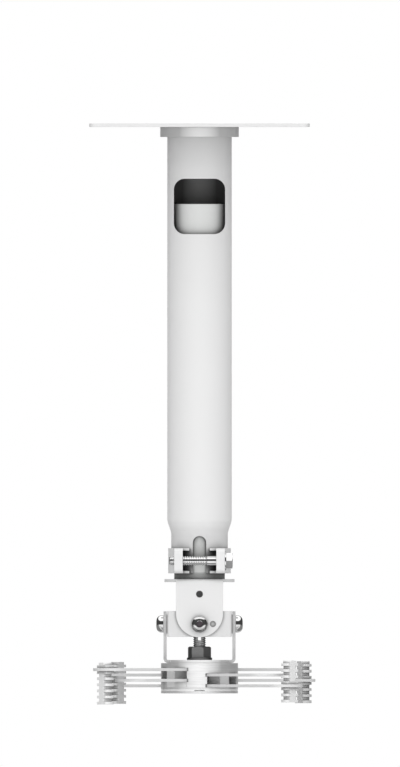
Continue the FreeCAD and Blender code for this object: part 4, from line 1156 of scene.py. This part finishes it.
def make_hub_cover():
    """A turned cover with a stepped rim and a pad beside each key under the arms."""
    rim = math.sqrt(HUB * HUB - HUB_KEY * HUB_KEY)
    line, stripe = HUB_UNDER + 2.05, 1.35
    corners = [(0, HUB_UNDER, 0), (HUB, HUB_UNDER, 0.4), (HUB, line, 0), (HUB - 0.2, line + 0.1, 0),
               (HUB - 0.2, line + stripe, 0), (HUB, line + stripe, 0), (HUB, COVER_TOP, 0.02),
               (0, COVER_TOP, 0)]
    pad_top = arm_level(2) - LEVEL_HALF
    near, away = HUB_KEY + 0.1, HUB_PASSAGE - 0.1
    pads = []
    for sign in (-1, 1):
        for other in (-1, 1):
            outline = [(sign * HUB_RELIEF, other * near), (sign * rim, other * near),
                       (sign * rim, other * away), (sign * HUB_RELIEF, other * away)]
            pads.append(prism(outline, COVER_TOP - 0.5, pad_top))
    edge = prism(circle(0, 0, HUB, 192), COVER_TOP - 1, pad_top + 1)
    pads = carved(merged(*pads), "INTERSECT", edge)
    cover = moved(carved(lathe(softened(corners), 192), "UNION", pads), turn=HUB_TURN)
    tools = [
        rod(9.4, HUB_UNDER - 5, HUB_UNDER + BIG_HEAD_DEPTH, steps=72),
        rod(BIG_HOLE, HUB_UNDER - 5, COVER_TOP + 5, steps=56),
        prism(box_outline(-4.3, 4.3, line - 0.05, line + 0.65), -FAR, 3.0 - HUB, "Y"),
    ]

    def on_stripe(centre, normal):
        return line + 0.1 < centre.z < line + stripe and math.hypot(centre.x, centre.y) > HUB - 0.4

    # The stripe takes the painted highlight.
    add_piece("hub_cover_skin", carved(cover, "DIFFERENCE", *tools), ["hub_cover"], "hub_alloy", 0,
              material=COVER_ALLOY, inside=(STRIPE_HIGHLIGHT, on_stripe))


def make_arms():
    """Four slotted bars with round ends, each lying through the hub at its own level."""
    for corner, (bearing, reach, step) in ARMS.items():
        tip = reach + POST_TIP
        heel = tip - ARM_LENGTH
        half = ARM_SHEET / 2
        bar = prism(obround(heel + ARM_HALF, tip - ARM_HALF, ARM_HALF), -half, half)
        slot = prism(obround(heel + POST_TIP, reach, ARM_SLOT), -5.0, 5.0)
        arm = moved(carved(bar, "DIFFERENCE", slot), height=arm_level(step), turn=bearing)
        add_piece("arm_%s_skin" % corner, arm, ["arm_" + corner], "arm_paint", 0.3)


def grooved_post():
    """A stud whose marked section, a groove and a fin, the stack repeats down it."""
    cap, groove, count = 4.5, 2.7, 6
    pitch = POST_PITCH
    foot = -cap - pitch * count
    fins, core, bore, flat = 7.1, 5.2, 2.75, 4.6
    lip, neck = 0.25, 2.3
    section = [(fins - lip, -cap), (core + lip, -cap), (core, -cap - lip), (core, -cap - groove + lip),
               (core + lip, -cap - groove), (fins - lip, -cap - groove), (fins, -cap - groove - lip),
               (fins, -cap - pitch + lip), (fins - lip, -cap - pitch)]
    bevel = 0.4
    top = [(bore, foot + bevel), (bore, -bevel), (bore + bevel, 0.0), (core - 0.1, 0.0), (core + 0.2, -0.3),
           (core + 0.2, -neck), (fins - lip, -neck), (fins, -neck - lip), (fins, -cap + lip),
           (fins - lip, -cap)]
    base = [(fins - lip, foot), (bore + bevel, foot), (bore, foot + bevel)]
    segments = 96
    verts, faces, marks = [], [], []
    for outline, repeats in ((top, False), (section, True), (base, False)):
        start = len(verts)
        for radius, height in outline:
            for index in range(segments):
                angle = 2 * math.pi * (index + 0.5) / segments
                across = max(-flat, min(flat, radius * math.cos(angle)))
                verts.append((across, radius * math.sin(angle), height))
        for row in range(len(outline) - 1):
            for index in range(segments):
                after = (index + 1) % segments
                here = start + row * segments
                faces.append([here + index, here + after, here + segments + after, here + segments + index])
                marks.append(repeats)
    mesh = bpy.data.meshes.new("post")
    mesh.from_pydata(verts, [], faces)
    mesh.attributes.new("repeats", "BOOLEAN", "FACE").data.foreach_set("value", marks)
    return welded(grown(mesh, STACK, Count=count, Pitch=pitch, Material=POST_ALLOY))


def make_posts():
    for corner, (bearing, reach, step) in ARMS.items():
        angle = math.radians(bearing)
        top = arm_level(step) + 5.85 + POST_PITCH * step
        post = moved(grooved_post(), reach * math.cos(angle), reach * math.sin(angle), top, bearing)
        # The back posts take the darker copy of the alloy, as painted shade.
        add_piece("post_%s_skin" % corner, post, ["post_" + corner], "post_alloy", 0,
                  material=BACK_POST_SHADE if "back" in corner else POST_ALLOY)


THREAD = thread_tree()
RING = ring_tree()
STACK = stack_tree()

make_ceiling_plate()
make_collar_ring()
make_outer_tube()
make_clamp_collar()
make_clamp_bolt()
make_inner_tube()
make_guide_bush()
make_upper_yoke()
make_cross_frame()
make_pivot("roll", ("front", "back"), 1, YOKE_FACE, YOKE_SHEET, HEAD_STEEL)
make_pivot("tilt", ("left", "right"), 0, LEG_FACE, LEG_SHEET, BRIGHT_STEEL)
make_lower_bracket()
make_centre_bolt()
make_hub_body()
make_hub_cover()
make_arms()
make_posts()


# Floor, world, lamps and camera


def make_floor():
    """A plain pale floor far below the part, bright to the camera and keeping its shadow."""
    height = -1.3
    corners = box_outline(-5.0, 5.0, -5.0, 5.0)
    mesh = bpy.data.meshes.new("floor")
    mesh.from_pydata([(across, depth, height) for across, depth in corners], [], [(0, 1, 2, 3)])
    floor = bpy.data.objects.new("floor", mesh)
    bpy.context.scene.collection.objects.link(floor)
    material = bpy.data.materials.new("pale floor")
    material.use_nodes = True
    wires = Wires(material.node_tree)
    nodes = material.node_tree.nodes
    nodes["Principled BSDF"].inputs["Base Color"].default_value = grey(0.50)
    nodes["Principled BSDF"].inputs["Roughness"].default_value = 0.9
    glow = wires.add("ShaderNodeEmission")
    glow.inputs["Strength"].default_value = 1.0
    paths = wires.add("ShaderNodeLightPath")
    mix = wires.add("ShaderNodeMixShader")
    share = wires.math("MULTIPLY", paths.outputs["Is Camera Ray"], 0.75)
    wires.join(share, mix.inputs[0])
    wires.join(nodes["Principled BSDF"].outputs[0], mix.inputs[1])
    wires.join(glow.outputs[0], mix.inputs[2])
    wires.join(mix.outputs[0], nodes["Material Output"].inputs["Surface"])
    mesh.materials.append(material)
    floor.visible_glossy = False


def make_world():
    """A white room to the eye; to the part, a studio with pale walls and dark flags."""
    world = bpy.data.worlds.new("studio")
    world.use_nodes = True
    bpy.context.scene.world = world
    wires = Wires(world.node_tree)
    nodes = world.node_tree.nodes
    parts = wires.add("ShaderNodeSeparateXYZ")
    wires.join(wires.add("ShaderNodeTexCoord").outputs["Generated"], parts.inputs[0])
    paths = wires.add("ShaderNodeLightPath")
    height = wires.math("MAXIMUM", parts.outputs["Z"], 0.0)
    light = wires.math("MULTIPLY_ADD", wires.math("MULTIPLY", height, height), 1.05, 0.50)
    front = wires.math("MAXIMUM", wires.math("MULTIPLY", parts.outputs["Y"], -1.0), 0.0)
    light = wires.math("MULTIPLY_ADD", wires.math("POWER", front, 2.0), 0.55, light)
    studio = nodes["Background"]
    wires.join(light, studio.inputs["Color"])
    room = wires.add("ShaderNodeBackground")
    wires.join(polished_view(wires, parts.outputs["Z"], front), room.inputs["Color"])
    plain = wires.add("ShaderNodeBackground")
    plain.inputs["Color"].default_value = grey(1.0)
    polished = wires.add("ShaderNodeMixShader")
    shiny = wires.math("MAXIMUM", paths.outputs["Is Glossy Ray"], paths.outputs["Is Transmission Ray"])
    wires.join(shiny, polished.inputs[0])
    wires.join(studio.outputs[0], polished.inputs[1])
    wires.join(room.outputs[0], polished.inputs[2])
    behind = rising(wires, parts.outputs["Y"], 0.88, 20.0)
    seen = wires.math("MAXIMUM", paths.outputs["Is Camera Ray"], wires.math("MULTIPLY", behind, shiny))
    mix = wires.add("ShaderNodeMixShader")
    wires.join(seen, mix.inputs[0])
    wires.join(polished.outputs[0], mix.inputs[1])
    wires.join(plain.outputs[0], mix.inputs[2])
    wires.join(mix.outputs[0], nodes["World Output"].inputs["Surface"])


def polished_view(wires, height, front):
    """Softboxes above and low in front, with a dark wall between them."""
    above = rising(wires, height, 0.60, 8.0)
    below = rising(wires, height, -0.08, -9.0)
    under = rising(wires, height, -0.78, -9.0)
    ahead = rising(wires, front, 0.35, 3.5)
    lower = wires.math("MULTIPLY_ADD", wires.math("MULTIPLY", below, ahead), 0.8, 0.06)
    lower = wires.math("MULTIPLY_ADD", below, 0.18, lower)
    lower = wires.math("MULTIPLY_ADD", wires.math("MULTIPLY", under, ahead), -0.8, lower)
    return wires.math("MULTIPLY_ADD", above, 1.35, lower)


def add_lamp(name, place, target, size, power):
    data = bpy.data.lights.new(name, "AREA")
    data.shape = "SQUARE"
    data.size = size
    data.energy = power
    lamp = bpy.data.objects.new(name, data)
    lamp.location = place
    lamp.rotation_euler = (Vector(target) - Vector(place)).to_track_quat("-Z", "Y").to_euler()
    lamp.visible_camera = False
    lamp.visible_glossy = False
    bpy.context.scene.collection.objects.link(lamp)


def make_camera():
    data = bpy.data.cameras.new("camera")
    data.type = "ORTHO"
    data.ortho_scale = 0.642
    camera = bpy.data.objects.new("camera", data)
    camera.location = (0.0004, -2.0, -0.2177)
    camera.rotation_euler = (math.radians(90), 0, 0)
    bpy.context.scene.collection.objects.link(camera)
    bpy.context.scene.camera = camera


make_floor()
make_world()
make_camera()
MIDDLE = (0.0, 0.0, -0.24)
add_lamp("front softbox", (0.0, -2.3, -0.9), MIDDLE, 1.4, 16.0)
add_lamp("back softbox", (0.0, 2.6, 0.0), MIDDLE, 1.6, 12.0)
bpy.context.scene.view_settings.view_transform = "Standard"
